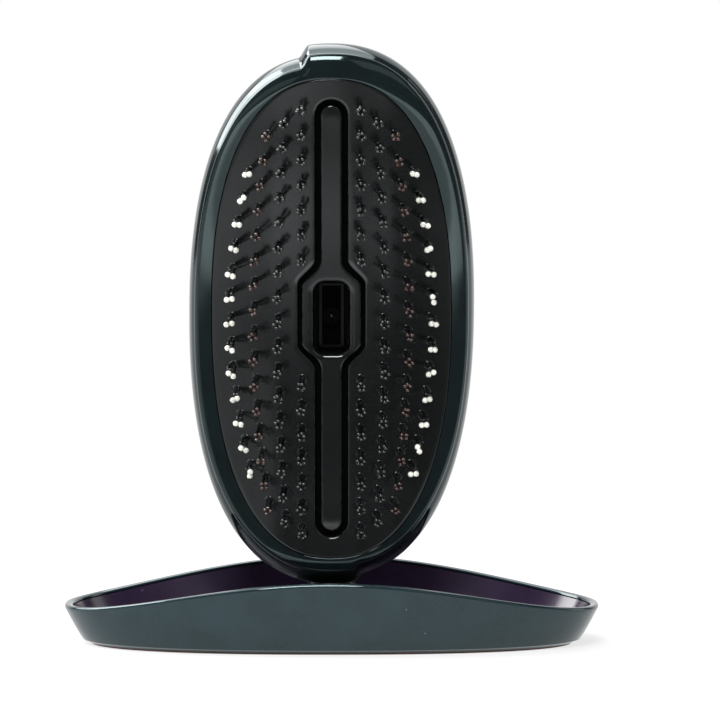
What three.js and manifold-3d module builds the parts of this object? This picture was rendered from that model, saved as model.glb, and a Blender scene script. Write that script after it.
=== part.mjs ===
// A powered scalp brush standing upright in its boat-shaped cover, at real size in millimetres.
// +Z is up, X runs along the cover and the bristles face -Y; the origin is the middle of the
// underside. The brush is drawn face up, with x across it, y along it and z towards the bristle
// tips, and its group then stands it on its end in the cover.

import * as THREE from "three";
import { mergeVertices } from "three/addons/utils/BufferGeometryUtils.js";
import Module from "manifold-3d";

const wasm = await Module();
wasm.setup();

const { lerp, smoothstep, degToRad, euclideanModulo } = THREE.MathUtils;
const point = (x, y, z) => new THREE.Vector3(x, y, z);

// Fits
const GAP = 0.3; // between pieces that touch
const RUNNING_GAP = 0.4; // round pieces that move
const CUT = 1; // how far a cutter reaches past what it cuts

// Face of the brush: a superellipse, crowned across and hollow along
const OUTLINE_POWER = 2.35;
const FACE_HALF_WIDTH = 31.1;
const FACE_HALF_LENGTH = 62.3;
const FACE_HEIGHT = 6.5;
const CROWN_RADIUS = 110;
const FACE_SADDLE = 4;
const SADDLE_LENGTH = 140;
const SADDLE_EASE = 1.45;

// Swirl of the frame: two halves, each thick at its step and tapering half way round
const LOBE_THICK = 5;
const LOBE_TAPER = 2.25;
const LOBE_EASE = 2.4;
const LOBE_SWELL = 0.32; // both halves are this share wider at the top, and narrower at the bottom
const STEP_ANGLE = degToRad(95.8);
const STEP_SPAN = degToRad(4.4);
const FRAME_DEPTH = 3;
const FRAME_PROUD = 0.3;
const FRAME_EDGE = 1.2;

// Palm shell
const WALL = 2;
const FLARE_SIDE = 1.6;
const FLARE_TOP = 1.9;
const FLARE_BOTTOM = 4.9;
const SHOULDER_FLARE = 0.6; // shares of the flare and of the way down to the girth
const SHOULDER_DROP = 0.4;
const GIRTH_DROP = 9;
const BACK_DEPTH = 24;
const BACK_FULLNESS = 0.85;
const LEDGE_DROP = 6.2;
const LEDGE_WIDTH = 1.3;
const LEDGE_THICK = 1.5;

// Channel down the middle of the face, and its port
const CHANNEL_HALF_WIDTH = 4.2;
const CHANNEL_END = 5.4; // from the end of the face
const CHANNEL_HALF_LENGTH = FACE_HALF_LENGTH - CHANNEL_END;
const BULGE_HALF_WIDTH = 8.7;
const BULGE_HALF_LENGTH = 9;
const BULGE_SHOULDER = 5;
const GROOVE = 1.2;
const SPINE_DROP = 0.4;
const WINDOW_WIDTH = 9.3;
const WINDOW_LENGTH = 20;
const WINDOW_CORNER = 2;
const LEAST_CORNER = 0.2; // of what is drawn inside the window
const PORT_WALL = 0.8;
const PORT_FLOOR = -0.8;
const PORT_RIM_DROP = 0.8;
const NEEDLE_RADIUS = 0.4;
const NEEDLE_TIP = 4.4;
const HOLDER_RADIUS = 2.2;
const HOLDER_HEIGHT = 2;
const GROUND_RING_WIDTH = 0.8;
const GROUND_RING_THICK = 0.6;

// Bristle field
const CHANNEL_MARGIN = 3.5; // from the channel, the side and the end of the face to the tufts
const SIDE_MARGIN = 4.8;
const END_MARGIN = 7.9;
const FIRST_COLUMN = CHANNEL_HALF_WIDTH + CHANNEL_MARGIN;
const COLUMN_PITCH = (FACE_HALF_WIDTH - SIDE_MARGIN - FIRST_COLUMN) / 3;
const ROW_PITCH = 6.47;
const FIRST_ROW = FACE_HALF_LENGTH - END_MARGIN;
const ROW_SLACK = 2; // how far the last row may pass the place that mirrors the first
const PAD_THICK = 1.2;
const BED_THICK = 2;
const SKIRT_WIDTH = 2;
const SEAL_THICK = 0.8;
const PAD_SPLIT_HALF_WIDTH = FIRST_COLUMN + 1.5 * COLUMN_PITCH - GAP / 2;
const PAD_SPLIT_END = 0.8; // the split stops this far inside the end of the face
const PAD_SPLIT_POWER = 4;
const STRIP_END = 5.3;
const STRIP_HALF_LENGTH = FACE_HALF_LENGTH - STRIP_END;
const TIP_PLANE = 16.5;
const TUFT_SPREAD = 1.15; // of the ball tips, from the middle of their tuft
const TUFT_ROOT = 0.75;
const STRAND_RADIUS = 0.34;
const BALL_RADIUS = 0.76;
const BALL_LENGTH = 1.5;
const FAN_OUT = 0.015; // sideways lean of a tip, as a share of its distance from the middle
const FAN_ALONG = 0.016;
const DROOP = 0.6; // of every tip towards the lower end

// Chassis and what it carries
const CHASSIS_TOP = -2;
const CHASSIS_THICK = 2;
const CHASSIS_INSET = 4.6;
const SCREW_X = 18;
const SCREW_Y = 34;
const SCREW_RADIUS = 1.3;
const SCREW_HEAD_RADIUS = 2.5;
const SCREW_HEAD = 1.8;
const SCREW_LENGTH = 6.2;
const BOSS_RADIUS = 3;
const BATTERY_RADIUS = 5.25;
const BATTERY_LENGTH = 44.5;
const BATTERY_PLACE = 39.3; // from the lower end of the face to the middle of the cells
const BATTERY_MIDDLE = BATTERY_PLACE - FACE_HALF_LENGTH;
const TRAY_WALL = 1.2;
const SPRING_LENGTH = 2.6;
const CONTACT_THICK = 0.5;
const BOARD_WIDTH = 26;
const BOARD_LENGTH = 27;
const BOARD_THICK = 1.2;
const BOARD_STANDOFF = 1.4;
const BOARD_PLACE = 46; // beyond the middle of the cells
const BOARD_MIDDLE = BATTERY_MIDDLE + BOARD_PLACE;
const SWITCH_SIZE = 6;
const SWITCH_HEIGHT = 3.4;
const PLUNGER_RADIUS = 1.5;
const PLUNGER_HEIGHT = 0.8;
const ION_WIDTH = 14;
const ION_LENGTH = 26;
const ION_HEIGHT = 9;
const ION_X = -20.5;
const ION_Y = -13;
const MOTOR_RADIUS = 5;
const MOTOR_LENGTH = 14;
const MOTOR_X = 20.8;
const MOTOR_Y = -15;
const SHAFT_RADIUS = 0.75;
const WEIGHT_RADIUS = 4.2;
const WEIGHT_LENGTH = 4;
const CLAMP_WALL = 1.2;
const CLAMP_LENGTH = 6;
const CLAMP_FOOT = 1.5;

// Controls and door on the back
const BUTTON_PLACE = -3; // from the middle of the board
const LENS_PLACE = 10;
const BUTTON_Y = BOARD_MIDDLE + BUTTON_PLACE;
const BUTTON_RADIUS = 7;
const BUTTON_FLANGE = 1.2;
const BUTTON_TRAVEL = 0.8;
const BUTTON_PROUD = 0.8;
const STEM_RADIUS = 1.6;
const LENS_Y = BOARD_MIDDLE + LENS_PLACE;
const LENS_RADIUS = 1.6;
const LED_HEIGHT = 1.1;
const LED_WIDTH = 2.4;
const DOOR_HALF_WIDTH = 15;
const DOOR_HALF_LENGTH = 27;
const DOOR_CORNER = 6;

// Cover, which is the stand at rest
const RIM_HALF_LENGTH = 70.4;
const RIM_HALF_WIDTH = 36;
const END_RAKE = 5.7; // how far the rim reaches out past the base
const SIDE_RAKE = 5.4;
const BASE_HALF_LENGTH = RIM_HALF_LENGTH - END_RAKE;
const BASE_HALF_WIDTH = RIM_HALF_WIDTH - SIDE_RAKE;
const RIM_END_HEIGHT = 10.4;
const RIM_RISE = 8.6;
const COVER_WALL = 1.2;
const LINER_WALL = 0.9;
const LIP_HEIGHT = 1.6;
const BASE_EDGE = 1;
const BASE_LIFT = 0.5;
const FLOOR_INSET = 4.4;
const PAD_INSET = 0.6;
const BASE_PAD_THICK = 1.4;
const LUG_WIDTH = 5;
const LUG_REACH = 1.1;
const CRADLE_HALF_LENGTH = 12;
const CRADLE_HALF_WIDTH = 13;
const CRADLE_TOP = 16.3;
const BACKREST_TOP = 18.6;

// How the brush stands
const BRUSH_BOTTOM = 15.05; // its lowest point above the table
const LOWER_END = FACE_HALF_LENGTH + LOBE_THICK * (1 - LOBE_SWELL) + FLARE_BOTTOM;
const STAND_HEIGHT = BRUSH_BOTTOM + LOWER_END; // of the middle of its face outline
const STAND_TILT = degToRad(4); // its top leans towards the bristle side
const STAND_FORWARD = 2.5;

// Colours and finishes
const finish = (color, roughness, metalness = 0) =>
  new THREE.MeshStandardMaterial({ color, roughness, metalness });
const shellPlastic = finish(0x1f2b29, 0.18);
const linerPlastic = finish(0x23123a, 0.2);
const padRubber = finish(0x151a19, 0.35);
const innerPlastic = finish(0x2b2d2e, 0.6);
const amberResin = finish(0x8a5a3c, 0.2);
const blackResin = finish(0x0a0b0b, 0.25);
const softRubber = finish(0x1b1c1d, 0.8);
const footRubber = finish(0x5b352b, 0.75);
const steel = finish(0xb9bcc0, 0.3, 1);
const brass = finish(0xc0a062, 0.35, 1);
const boardGreen = finish(0x1f5a3a, 0.5);
const cellWrap = finish(0x2a5d8c, 0.4);
const clearLens = finish(0xd8e4e0, 0.15);

// Closed solids

// A BufferGeometry from a list of points and triangles, turned face out.
function closedGeometry(points, faces) {
  const volume = faces.reduce((sum, [a, b, c]) => {
    const across = new THREE.Vector3().crossVectors(points[b], points[c]);
    return sum + points[a].dot(across);
  }, 0);
  const outward = volume < 0 ? faces.map(([a, b, c]) => [a, c, b]) : faces;
  return new THREE.BufferGeometry().setFromPoints(points).setIndex(outward.flat());
}

// A surface through rings of points, each with as many points as the next, or a single one at a
// pole. A stack is capped at both ends; a loop joins its last ring to its first.
function loft(rings, isLoop = false) {
  const points = rings.flat();
  const starts = rings.map((_, k) => rings.slice(0, k).flat().length);
  const count = Math.max(...rings.map((ring) => ring.length));
  const at = (k, i) => starts[k] + (rings[k].length === 1 ? 0 : i % count);
  const faces = [];
  const bands = isLoop ? rings.length : rings.length - 1;
  for (let k = 0; k < bands; k++) {
    const next = (k + 1) % rings.length;
    for (let i = 0; i < count; i++) {
      if (rings[k].length > 1) faces.push([at(k, i), at(k, i + 1), at(next, i + 1)]);
      if (rings[next].length > 1) faces.push([at(k, i), at(next, i + 1), at(next, i)]);
    }
  }
  const cap = (k, isLast) => {
    if (isLoop || rings[k].length === 1) return;
    const middle = rings[k].reduce((sum, p) => sum.add(p), point(0, 0, 0)).divideScalar(count);
    points.push(middle);
    for (let i = 0; i < count; i++) {
      const edge = isLast ? [at(k, i), at(k, i + 1)] : [at(k, i + 1), at(k, i)];
      faces.push([points.length - 1, ...edge]);
    }
  };
  cap(0, false);
  cap(rings.length - 1, true);
  return closedGeometry(points, faces);
}

// A slab between two side curves, with its own top and underside, through stations along y.
function slab(stations, left, right, columns, top, bottom) {
  const rings = stations.map((y) => {
    const across = Array.from({ length: columns + 1 }, (_, i) =>
      lerp(left(y), right(y), i / columns),
    );
    const upper = across.map((x) => point(x, y, top(x, y)));
    const lower = across.map((x) => point(x, y, bottom(x, y)));
    return [...upper, ...lower.reverse()];
  });
  return loft(rings);
}

function solidOf(geometry) {
  const bare = geometry.clone();
  bare.deleteAttribute("normal");
  bare.deleteAttribute("uv");
  const merged = mergeVertices(bare, 1e-4);
  return new wasm.Manifold(
    new wasm.Mesh({
      numProp: 3,
      vertProperties: new Float32Array(merged.attributes.position.array),
      triVerts: new Uint32Array(merged.index.array),
    }),
  );
}

function geometryOf(solid) {
  const mesh = solid.getMesh();
  return new THREE.BufferGeometry()
    .setAttribute("position", new THREE.BufferAttribute(mesh.vertProperties, 3))
    .setIndex(new THREE.BufferAttribute(mesh.triVerts, 1));
}

const cut = (geometry, ...cutters) =>
  geometryOf(cutters.reduce((solid, cutter) => solid.subtract(solidOf(cutter)), solidOf(geometry)));
const join = (...geometries) =>
  geometryOf(geometries.map(solidOf).reduce((sum, solid) => sum.add(solid)));
const common = (a, b) => geometryOf(solidOf(a).intersect(solidOf(b)));

// A prism from one height to another.
function prism(shape, bottom, top, curveSegments = 3) {
  const options = { depth: top - bottom, bevelEnabled: false, curveSegments };
  return new THREE.ExtrudeGeometry(shape, options).translate(0, 0, bottom);
}

function roundedRectangle(width, length, corner) {
  const x = width / 2;
  const y = length / 2;
  return new THREE.Shape()
    .moveTo(-x + corner, -y)
    .lineTo(x - corner, -y)
    .absarc(x - corner, -y + corner, corner, -Math.PI / 2, 0)
    .lineTo(x, y - corner)
    .absarc(x - corner, y - corner, corner, 0, Math.PI / 2)
    .lineTo(-x + corner, y)
    .absarc(-x + corner, y - corner, corner, Math.PI / 2, Math.PI)
    .lineTo(-x, -y + corner)
    .absarc(-x + corner, -y + corner, corner, Math.PI, 1.5 * Math.PI);
}

// A turned piece about z, from a profile of [radius, height] that starts and ends on the axis.
function turned(profile, segments = 20) {
  const points = profile.map(([radius, z]) => new THREE.Vector2(radius, z));
  return new THREE.LatheGeometry(points, segments).rotateX(Math.PI / 2);
}

const rod = (radius, bottom, top, segments = 16) =>
  turned([[0, bottom], [radius, bottom], [radius, top], [0, top]], segments);

const box = (width, length, bottom, top) =>
  new THREE.BoxGeometry(width, length, top - bottom).translate(0, 0, (bottom + top) / 2);

// Superellipse outlines
const power = (value, exponent) => Math.sign(value) * Math.abs(value) ** exponent;

function superellipse(halfWidth, halfLength, angle, offset = 0) {
  const x = halfWidth * power(Math.cos(angle), 2 / OUTLINE_POWER);
  const y = halfLength * power(Math.sin(angle), 2 / OUTLINE_POWER);
  const out = new THREE.Vector2(
    power(x / halfWidth, OUTLINE_POWER - 1) / halfWidth,
    power(y / halfLength, OUTLINE_POWER - 1) / halfLength,
  ).setLength(offset);
  return { x: x + out.x, y: y + out.y };
}

const halfWidthAt = (y, halfWidth, halfLength, exponent = OUTLINE_POWER) =>
  halfWidth * Math.max(0, 1 - Math.abs(y / halfLength) ** exponent) ** (1 / exponent);

// Stations that close up towards the ends of an outline.
const stationsTo = (halfLength, count, last = degToRad(84)) =>
  Array.from({ length: count + 1 }, (_, i) => halfLength * Math.sin(lerp(-last, last, i / count)));

// Heights of the face
const crown = (x) => CROWN_RADIUS - Math.sqrt(CROWN_RADIUS ** 2 - x * x);
const rise = (y, height, length) =>
  height * (1 - Math.max(0, Math.cos((Math.PI * y) / length)) ** SADDLE_EASE);
const faceZ = (x, y) => FACE_HEIGHT - crown(x) + rise(y, FACE_SADDLE, SADDLE_LENGTH);

// Rings of the brush, shared by its frame, bed and shell

const LOBE_SAMPLES = 20;
const ringAngles = [0, Math.PI].flatMap((half) => {
  const taper = Array.from(
    { length: LOBE_SAMPLES + 1 },
    (_, i) => ((Math.PI - STEP_SPAN) * i) / LOBE_SAMPLES,
  );
  return [...taper, Math.PI - STEP_SPAN / 2].map((turn) => STEP_ANGLE - half - turn);
});

// Width of the frame at an angle round it: thick after each step, then thinner.
function lobe(angle) {
  const turn = euclideanModulo(STEP_ANGLE - angle, Math.PI) / Math.PI;
  const taper = LOBE_THICK - LOBE_TAPER * turn ** LOBE_EASE;
  const width = lerp(taper, LOBE_THICK, smoothstep(turn, 1 - STEP_SPAN / Math.PI, 1));
  return width * (1 + LOBE_SWELL * Math.sin(angle) ** 3);
}

const frameEdge = (angle) => Math.min(FRAME_EDGE, lobe(angle) / 2);

function flare(angle) {
  const end = Math.sin(angle) > 0 ? FLARE_TOP : FLARE_BOTTOM;
  return lerp(FLARE_SIDE, end, Math.abs(Math.sin(angle)) ** 3);
}

// One ring of the brush, offset from the outline of the face, at a height above its edge.
function brushRing(offsetAt, height) {
  return ringAngles.map((angle) => {
    const edge = superellipse(FACE_HALF_WIDTH, FACE_HALF_LENGTH, angle);
    const out = superellipse(FACE_HALF_WIDTH, FACE_HALF_LENGTH, angle, offsetAt(angle));
    return point(out.x, out.y, faceZ(edge.x, edge.y) + height);
  });
}

// The back, from its girth to its pole: the outline shrinks and sinks, and its swirl fades.
const DOME_STEPS = 5;
const middleLobe = LOBE_THICK - LOBE_TAPER / 2;

function domeRings(inset) {
  const pole = -BACK_DEPTH + inset;
  const rings = Array.from({ length: DOME_STEPS }, (_, k) => {
    const turn = (k / DOME_STEPS) * (Math.PI / 2);
    const scale = Math.cos(turn) ** BACK_FULLNESS;
    const sink = Math.sin(turn) ** BACK_FULLNESS;
    const spread = (angle) => lerp(lobe(angle), middleLobe, sink) + flare(angle) - inset;
    const girth = brushRing(spread, -GIRTH_DROP);
    return girth.map((p) => point(p.x * scale, p.y * scale, lerp(p.z, pole, sink)));
  });
  return [...rings, [point(0, 0, pole)]];
}

// Where the palm shell meets the frame, and its shoulder between there and the girth.
const land = -FRAME_DEPTH - GAP;
const shoulderRing = (clearance) =>
  brushRing(
    (angle) => lobe(angle) + flare(angle) * SHOULDER_FLARE + clearance,
    lerp(land, -GIRTH_DROP, SHOULDER_DROP),
  );

// Front frame: the glossy swirl round the face, with a rounded outer edge.
function frontFrame() {
  const roundedEdge = [0, 30, 60, 90].map((degrees) => {
    const turn = degToRad(degrees);
    const spread = (angle) => lobe(angle) - frameEdge(angle) * (1 - Math.sin(turn));
    return brushRing(spread, -FRAME_EDGE * (1 - Math.cos(turn)));
  });
  return loft(
    [
      brushRing(() => GAP, -FRAME_DEPTH),
      brushRing(() => GAP, FRAME_PROUD),
      brushRing((angle) => lerp(GAP, lobe(angle) - frameEdge(angle), 0.4), FRAME_PROUD),
      ...roundedEdge,
      brushRing(lobe, -FRAME_DEPTH),
    ],
    true,
  );
}

// Channel outline: parallel sides that swell into a bulge round the port.
function channelHalfWidth(y, inset = 0) {
  const end = CHANNEL_HALF_LENGTH - inset;
  const past = Math.max(0, Math.abs(y) - (end - CHANNEL_HALF_WIDTH + inset));
  const radius = CHANNEL_HALF_WIDTH - inset;
  const straight = Math.sqrt(Math.max(0, radius ** 2 - past ** 2));
  const swell = 1 - smoothstep(Math.abs(y), BULGE_HALF_LENGTH, BULGE_HALF_LENGTH + BULGE_SHOULDER);
  return straight + (BULGE_HALF_WIDTH - CHANNEL_HALF_WIDTH) * swell;
}

function channelStations(inset) {
  const end = CHANNEL_HALF_LENGTH - inset;
  const radius = CHANNEL_HALF_WIDTH - inset;
  const roundEnd = [0.995, 0.9, 0.7, 0.4, 0].map((share) => end - radius + radius * share);
  const shoulder = [4, 3, 2, 1, 0].map((k) => BULGE_HALF_LENGTH + (BULGE_SHOULDER * k) / 4);
  const straight = [0.75, 0.5, 0.25].map((share) => lerp(shoulder[0], roundEnd[4], share));
  const half = [...roundEnd, ...straight, ...shoulder];
  return [...half.map((y) => -y), ...half.reverse()];
}

// A slab that fills the channel, drawn in all round by an inset.
const channelSlab = (inset, top, bottom) =>
  slab(
    channelStations(inset),
    (y) => -channelHalfWidth(y, inset),
    (y) => channelHalfWidth(y, inset),
    1,
    top,
    bottom,
  );

const windowHole = (inset) =>
  roundedRectangle(
    WINDOW_WIDTH - 2 * inset,
    WINDOW_LENGTH - 2 * inset,
    Math.max(WINDOW_CORNER - inset, LEAST_CORNER),
  );

const spineTop = (x, y) => faceZ(0, y) - SPINE_DROP;

function centerSpine() {
  const body = channelSlab(GROOVE, spineTop, (x, y) => padBottom(0, y));
  return cut(body, prism(windowHole(0), PORT_FLOOR, TIP_PLANE));
}

// Bristles

// Columns from the channel outwards. Each draws in towards its ends and starts some rows lower.
const COLUMNS = [
  { drawIn: 0, lower: 0, balls: 3, clear: BULGE_HALF_LENGTH + BULGE_SHOULDER },
  { drawIn: 1.8, lower: 0.5, balls: 3, clear: 0 },
  { drawIn: 3.5, lower: 1, balls: 2, clear: 0 },
  { drawIn: 4.9, lower: 2.5, balls: 2, clear: 0 },
].map((column, k) => ({ ...column, middle: FIRST_COLUMN + k * COLUMN_PITCH }));

// The tufts of one column, as the middles of their ball tips. Columns are staggered by half a row.
function tuftsOf(column, side) {
  const first = FIRST_ROW - column.lower * ROW_PITCH;
  const rows = Math.floor((2 * first + ROW_SLACK) / ROW_PITCH) + 1;
  return Array.from({ length: rows }, (_, k) => first - k * ROW_PITCH)
    .filter((y) => Math.abs(y) > column.clear)
    .map((y) => {
      const x = column.middle - column.drawIn * (y / first) ** 2;
      return { x: side * x, y, balls: column.balls };
    });
}

// A strand: a thin stalk of three sides that swells into a ball at its tip.
function strand(root, tip) {
  const along = (height) => root.clone().lerp(tip, (height - root.z) / (tip.z - root.z));
  const section = (height, radius) => {
    const middle = along(height);
    return [90, 210, 330].map((degrees) => {
      const turn = degToRad(degrees);
      return middle.clone().add(point(radius * Math.cos(turn), radius * Math.sin(turn), 0));
    });
  };
  return loft([
    section(root.z, STRAND_RADIUS),
    section(tip.z - BALL_LENGTH, STRAND_RADIUS),
    section(tip.z - BALL_LENGTH / 2, BALL_RADIUS),
    [tip],
  ]);
}

function strandsOf(tuft) {
  const lean = point(tuft.x * FAN_OUT, tuft.y * FAN_ALONG - DROOP, 0);
  return Array.from({ length: tuft.balls }, (_, k) => {
    const turn = Math.PI / 4 + (2 * Math.PI * k) / tuft.balls;
    const ray = point(Math.cos(turn), Math.sin(turn), 0);
    const tip = point(tuft.x, tuft.y, TIP_PLANE).addScaledVector(ray, TUFT_SPREAD);
    const root = point(tuft.x, tuft.y, 0).sub(lean).addScaledVector(ray, TUFT_ROOT);
    root.z = faceZ(root.x, root.y) - PAD_THICK / 2;
    return strand(root, tip);
  });
}

function withBristles(backing, tufts) {
  const strands = tufts.flatMap(strandsOf).map(solidOf);
  return geometryOf(strands.reduce((sum, one) => sum.add(one), solidOf(backing)));
}

const padTop = (x, y) => faceZ(x, y);
const padBottom = (x, y) => faceZ(x, y) - PAD_THICK;
const splitHalfWidth = (y) =>
  halfWidthAt(y, PAD_SPLIT_HALF_WIDTH, FACE_HALF_LENGTH - PAD_SPLIT_END, PAD_SPLIT_POWER);

// The middle of the pad, with the channel cut through it and two columns of bristles a side.
function bristlePadCenter() {
  const stations = stationsTo(FACE_HALF_LENGTH - PAD_SPLIT_END, 14);
  const whole = slab(stations, (y) => -splitHalfWidth(y), splitHalfWidth, 4, padTop, padBottom);
  const opening = channelSlab(0, () => TIP_PLANE, () => PORT_FLOOR);
  const tufts = [-1, 1].flatMap((side) => COLUMNS.slice(0, 2).flatMap((c) => tuftsOf(c, side)));
  return withBristles(cut(whole, opening), tufts);
}

// A side strip of the pad, with the two outer columns.
function bristleStrip(side) {
  const stations = stationsTo(STRIP_HALF_LENGTH, 14, Math.PI / 2);
  const inner = (y) => side * (splitHalfWidth(y) + GAP);
  const outer = (y) => side * (halfWidthAt(y, FACE_HALF_WIDTH, FACE_HALF_LENGTH) - GAP);
  const backing = slab(stations, inner, outer, 1, padTop, padBottom);
  return withBristles(backing, COLUMNS.slice(2).flatMap((c) => tuftsOf(c, side)));
}

// Bed: the rigid carrier under the pad, with a skirt that stands on the seal and four bosses.
const bedTop = (x, y) => padBottom(x, y) - GAP;
const bedBottom = (x, y) => bedTop(x, y) - BED_THICK;
const screwPlaces = [-1, 1].flatMap((sx) => [-1, 1].map((sy) => [sx * SCREW_X, sy * SCREW_Y]));
const sealTop = -LEDGE_DROP + GAP + SEAL_THICK;

// A ring inside the outline of the face, at a share of its size and on a given surface.
const innerRing = (share, inset, surface) =>
  brushRing(() => -inset, 0).map((p) =>
    point(p.x * share, p.y * share, surface(p.x * share, p.y * share)),
  );

function bristleBed() {
  const inside = GAP + SKIRT_WIDTH;
  const shares = [1, 2 / 3, 1 / 3];
  const centre = (surface) => [point(0, 0, surface(0, 0))];
  const body = loft([
    centre(bedTop),
    ...shares.toReversed().map((share) => innerRing(share, GAP, bedTop)),
    brushRing(() => -GAP, sealTop + GAP),
    brushRing(() => -inside, sealTop + GAP),
    ...shares.map((share) => innerRing(share, inside, bedBottom)),
    centre(bedBottom),
  ]);
  const bosses = screwPlaces.map(([x, y]) =>
    rod(BOSS_RADIUS, CHASSIS_TOP + GAP, bedTop(x, y) - BED_THICK / 2, 12).translate(x, y, 0),
  );
  const pilots = screwPlaces.map(([x, y]) =>
    rod(SCREW_RADIUS + GAP, CHASSIS_TOP, screwTop + GAP, 8).translate(x, y, 0),
  );
  const portHole = prism(windowHole(0), PORT_FLOOR - CUT, TIP_PLANE);
  return cut(join(body, ...bosses), portHole, ...pilots);
}

function sealRing() {
  const low = -LEDGE_DROP + GAP;
  return loft(
    [
      brushRing(() => -GAP, low),
      brushRing(() => -GAP, sealTop),
      brushRing(() => -LEDGE_WIDTH, sealTop),
      brushRing(() => -LEDGE_WIDTH, low),
    ],
    true,
  );
}

// Ion port: a dark tub behind the window, with its needle, holder and earth ring.
const portTop = FACE_HEIGHT - SPINE_DROP - PORT_RIM_DROP;
const portHolderFoot = PORT_FLOOR + PORT_WALL + GAP;

function portLiner() {
  const tub = prism(windowHole(GAP), PORT_FLOOR, portTop);
  const hollow = prism(windowHole(GAP + PORT_WALL), PORT_FLOOR + PORT_WALL, portTop + CUT);
  return cut(tub, hollow);
}

function emitterHolder() {
  const post = rod(HOLDER_RADIUS, portHolderFoot, portHolderFoot + HOLDER_HEIGHT);
  return cut(post, rod(NEEDLE_RADIUS + GAP, portHolderFoot + GAP, NEEDLE_TIP, 10));
}

const emitterNeedle = () =>
  turned(
    [
      [0, portHolderFoot + 2 * GAP],
      [NEEDLE_RADIUS, portHolderFoot + 2 * GAP],
      [NEEDLE_RADIUS, lerp(portHolderFoot, NEEDLE_TIP, 0.7)],
      [0, NEEDLE_TIP],
    ],
    8,
  );

function groundRing() {
  const outer = GAP + PORT_WALL + GAP;
  const ring = prism(windowHole(outer), portHolderFoot, portHolderFoot + GROUND_RING_THICK);
  const inner = windowHole(outer + GROUND_RING_WIDTH);
  return cut(ring, prism(inner, PORT_FLOOR, portTop));
}

// Palm shell, hollow, with a ledge for the seal and openings for the door, button and lens.
const doorOutline = (inset) =>
  roundedRectangle(
    2 * (DOOR_HALF_WIDTH - inset),
    2 * (DOOR_HALF_LENGTH - inset),
    DOOR_CORNER - inset,
  );

function shellWall() {
  const inner = (angle) => Math.max(0, lobe(angle) - WALL);
  const ledge = () => -LEDGE_WIDTH;
  return loft([
    ...domeRings(WALL).reverse(),
    brushRing(ledge, -LEDGE_DROP - LEDGE_THICK),
    brushRing(ledge, -LEDGE_DROP),
    brushRing(inner, -LEDGE_DROP),
    brushRing(inner, land),
    brushRing(lobe, land),
    shoulderRing(0),
    ...domeRings(0),
  ]);
}

const doorCutter = (inset) =>
  prism(doorOutline(inset), -BACK_DEPTH - CUT, CHASSIS_TOP).translate(0, BATTERY_MIDDLE, 0);

function backShell() {
  const buttonHole = rod(BUTTON_RADIUS + RUNNING_GAP, -BACK_DEPTH - CUT, boardBottom, 28);
  const lensHole = rod(LENS_RADIUS + GAP, -BACK_DEPTH - CUT, boardBottom, 12);
  return cut(
    shellWall(),
    doorCutter(0),
    buttonHole.translate(0, BUTTON_Y, 0),
    lensHole.translate(0, LENS_Y, 0),
  );
}

const batteryDoor = () => common(shellWall(), doorCutter(RUNNING_GAP));

// Chassis: a plate screwed to the bed, with the battery tray and the standoffs of the board.
const chassisBottom = CHASSIS_TOP - CHASSIS_THICK;
const hangFrom = chassisBottom - GAP; // the top of what lies against the chassis
const boardTop = chassisBottom - BOARD_STANDOFF - GAP;
const boardBottom = boardTop - BOARD_THICK;
const screwTop = hangFrom + SCREW_LENGTH;
const trayInside = 4 * BATTERY_RADIUS + 3 * GAP;
const contactRoom = SPRING_LENGTH + CONTACT_THICK / 2 + 2 * GAP;
const trayHalfLength = BATTERY_LENGTH / 2 + contactRoom;

function chassis() {
  const inset = CHASSIS_INSET;
  const outline = new THREE.Shape(
    Array.from({ length: 40 }, (_, i) => {
      const p = superellipse(FACE_HALF_WIDTH, FACE_HALF_LENGTH, (2 * Math.PI * i) / 40, -inset);
      return new THREE.Vector2(p.x, p.y);
    }),
  );
  const plate = prism(outline, chassisBottom, CHASSIS_TOP);
  const wallDepth = chassisBottom - BATTERY_RADIUS - GAP;
  const outerWidth = trayInside + 2 * TRAY_WALL;
  const outerLength = 2 * (trayHalfLength + TRAY_WALL);
  const tray = box(outerWidth, outerLength, wallDepth, CHASSIS_TOP - CHASSIS_THICK / 2);
  const well = box(trayInside, 2 * trayHalfLength, wallDepth - CUT, chassisBottom);
  const boardPosts = [-1, 1].flatMap((sx) =>
    [-1, 1].map((sy) =>
      rod(1.6, boardTop + GAP, CHASSIS_TOP - CHASSIS_THICK / 2, 10).translate(
        (sx * (BOARD_WIDTH - 5)) / 2,
        BOARD_MIDDLE + (sy * (BOARD_LENGTH - 5)) / 2,
        0,
      ),
    ),
  );
  const tub = cut(tray, well).translate(0, BATTERY_MIDDLE, 0);
  const screwHoles = screwPlaces.map(([x, y]) =>
    rod(SCREW_RADIUS + GAP, chassisBottom - CUT, CHASSIS_TOP + CUT, 10).translate(x, y, 0),
  );
  return cut(join(plate, tub, ...boardPosts), ...screwHoles);
}

const housingScrew = () =>
  turned(
    [
      [0, hangFrom - SCREW_HEAD],
      [SCREW_HEAD_RADIUS * 0.7, hangFrom - SCREW_HEAD],
      [SCREW_HEAD_RADIUS, hangFrom - SCREW_HEAD / 2],
      [SCREW_HEAD_RADIUS, hangFrom],
      [SCREW_RADIUS, hangFrom],
      [SCREW_RADIUS, screwTop - SCREW_RADIUS],
      [0, screwTop],
    ],
    8,
  );

// Power
const batteryX = BATTERY_RADIUS + GAP / 2;
const batteryZ = hangFrom - BATTERY_RADIUS;

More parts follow.
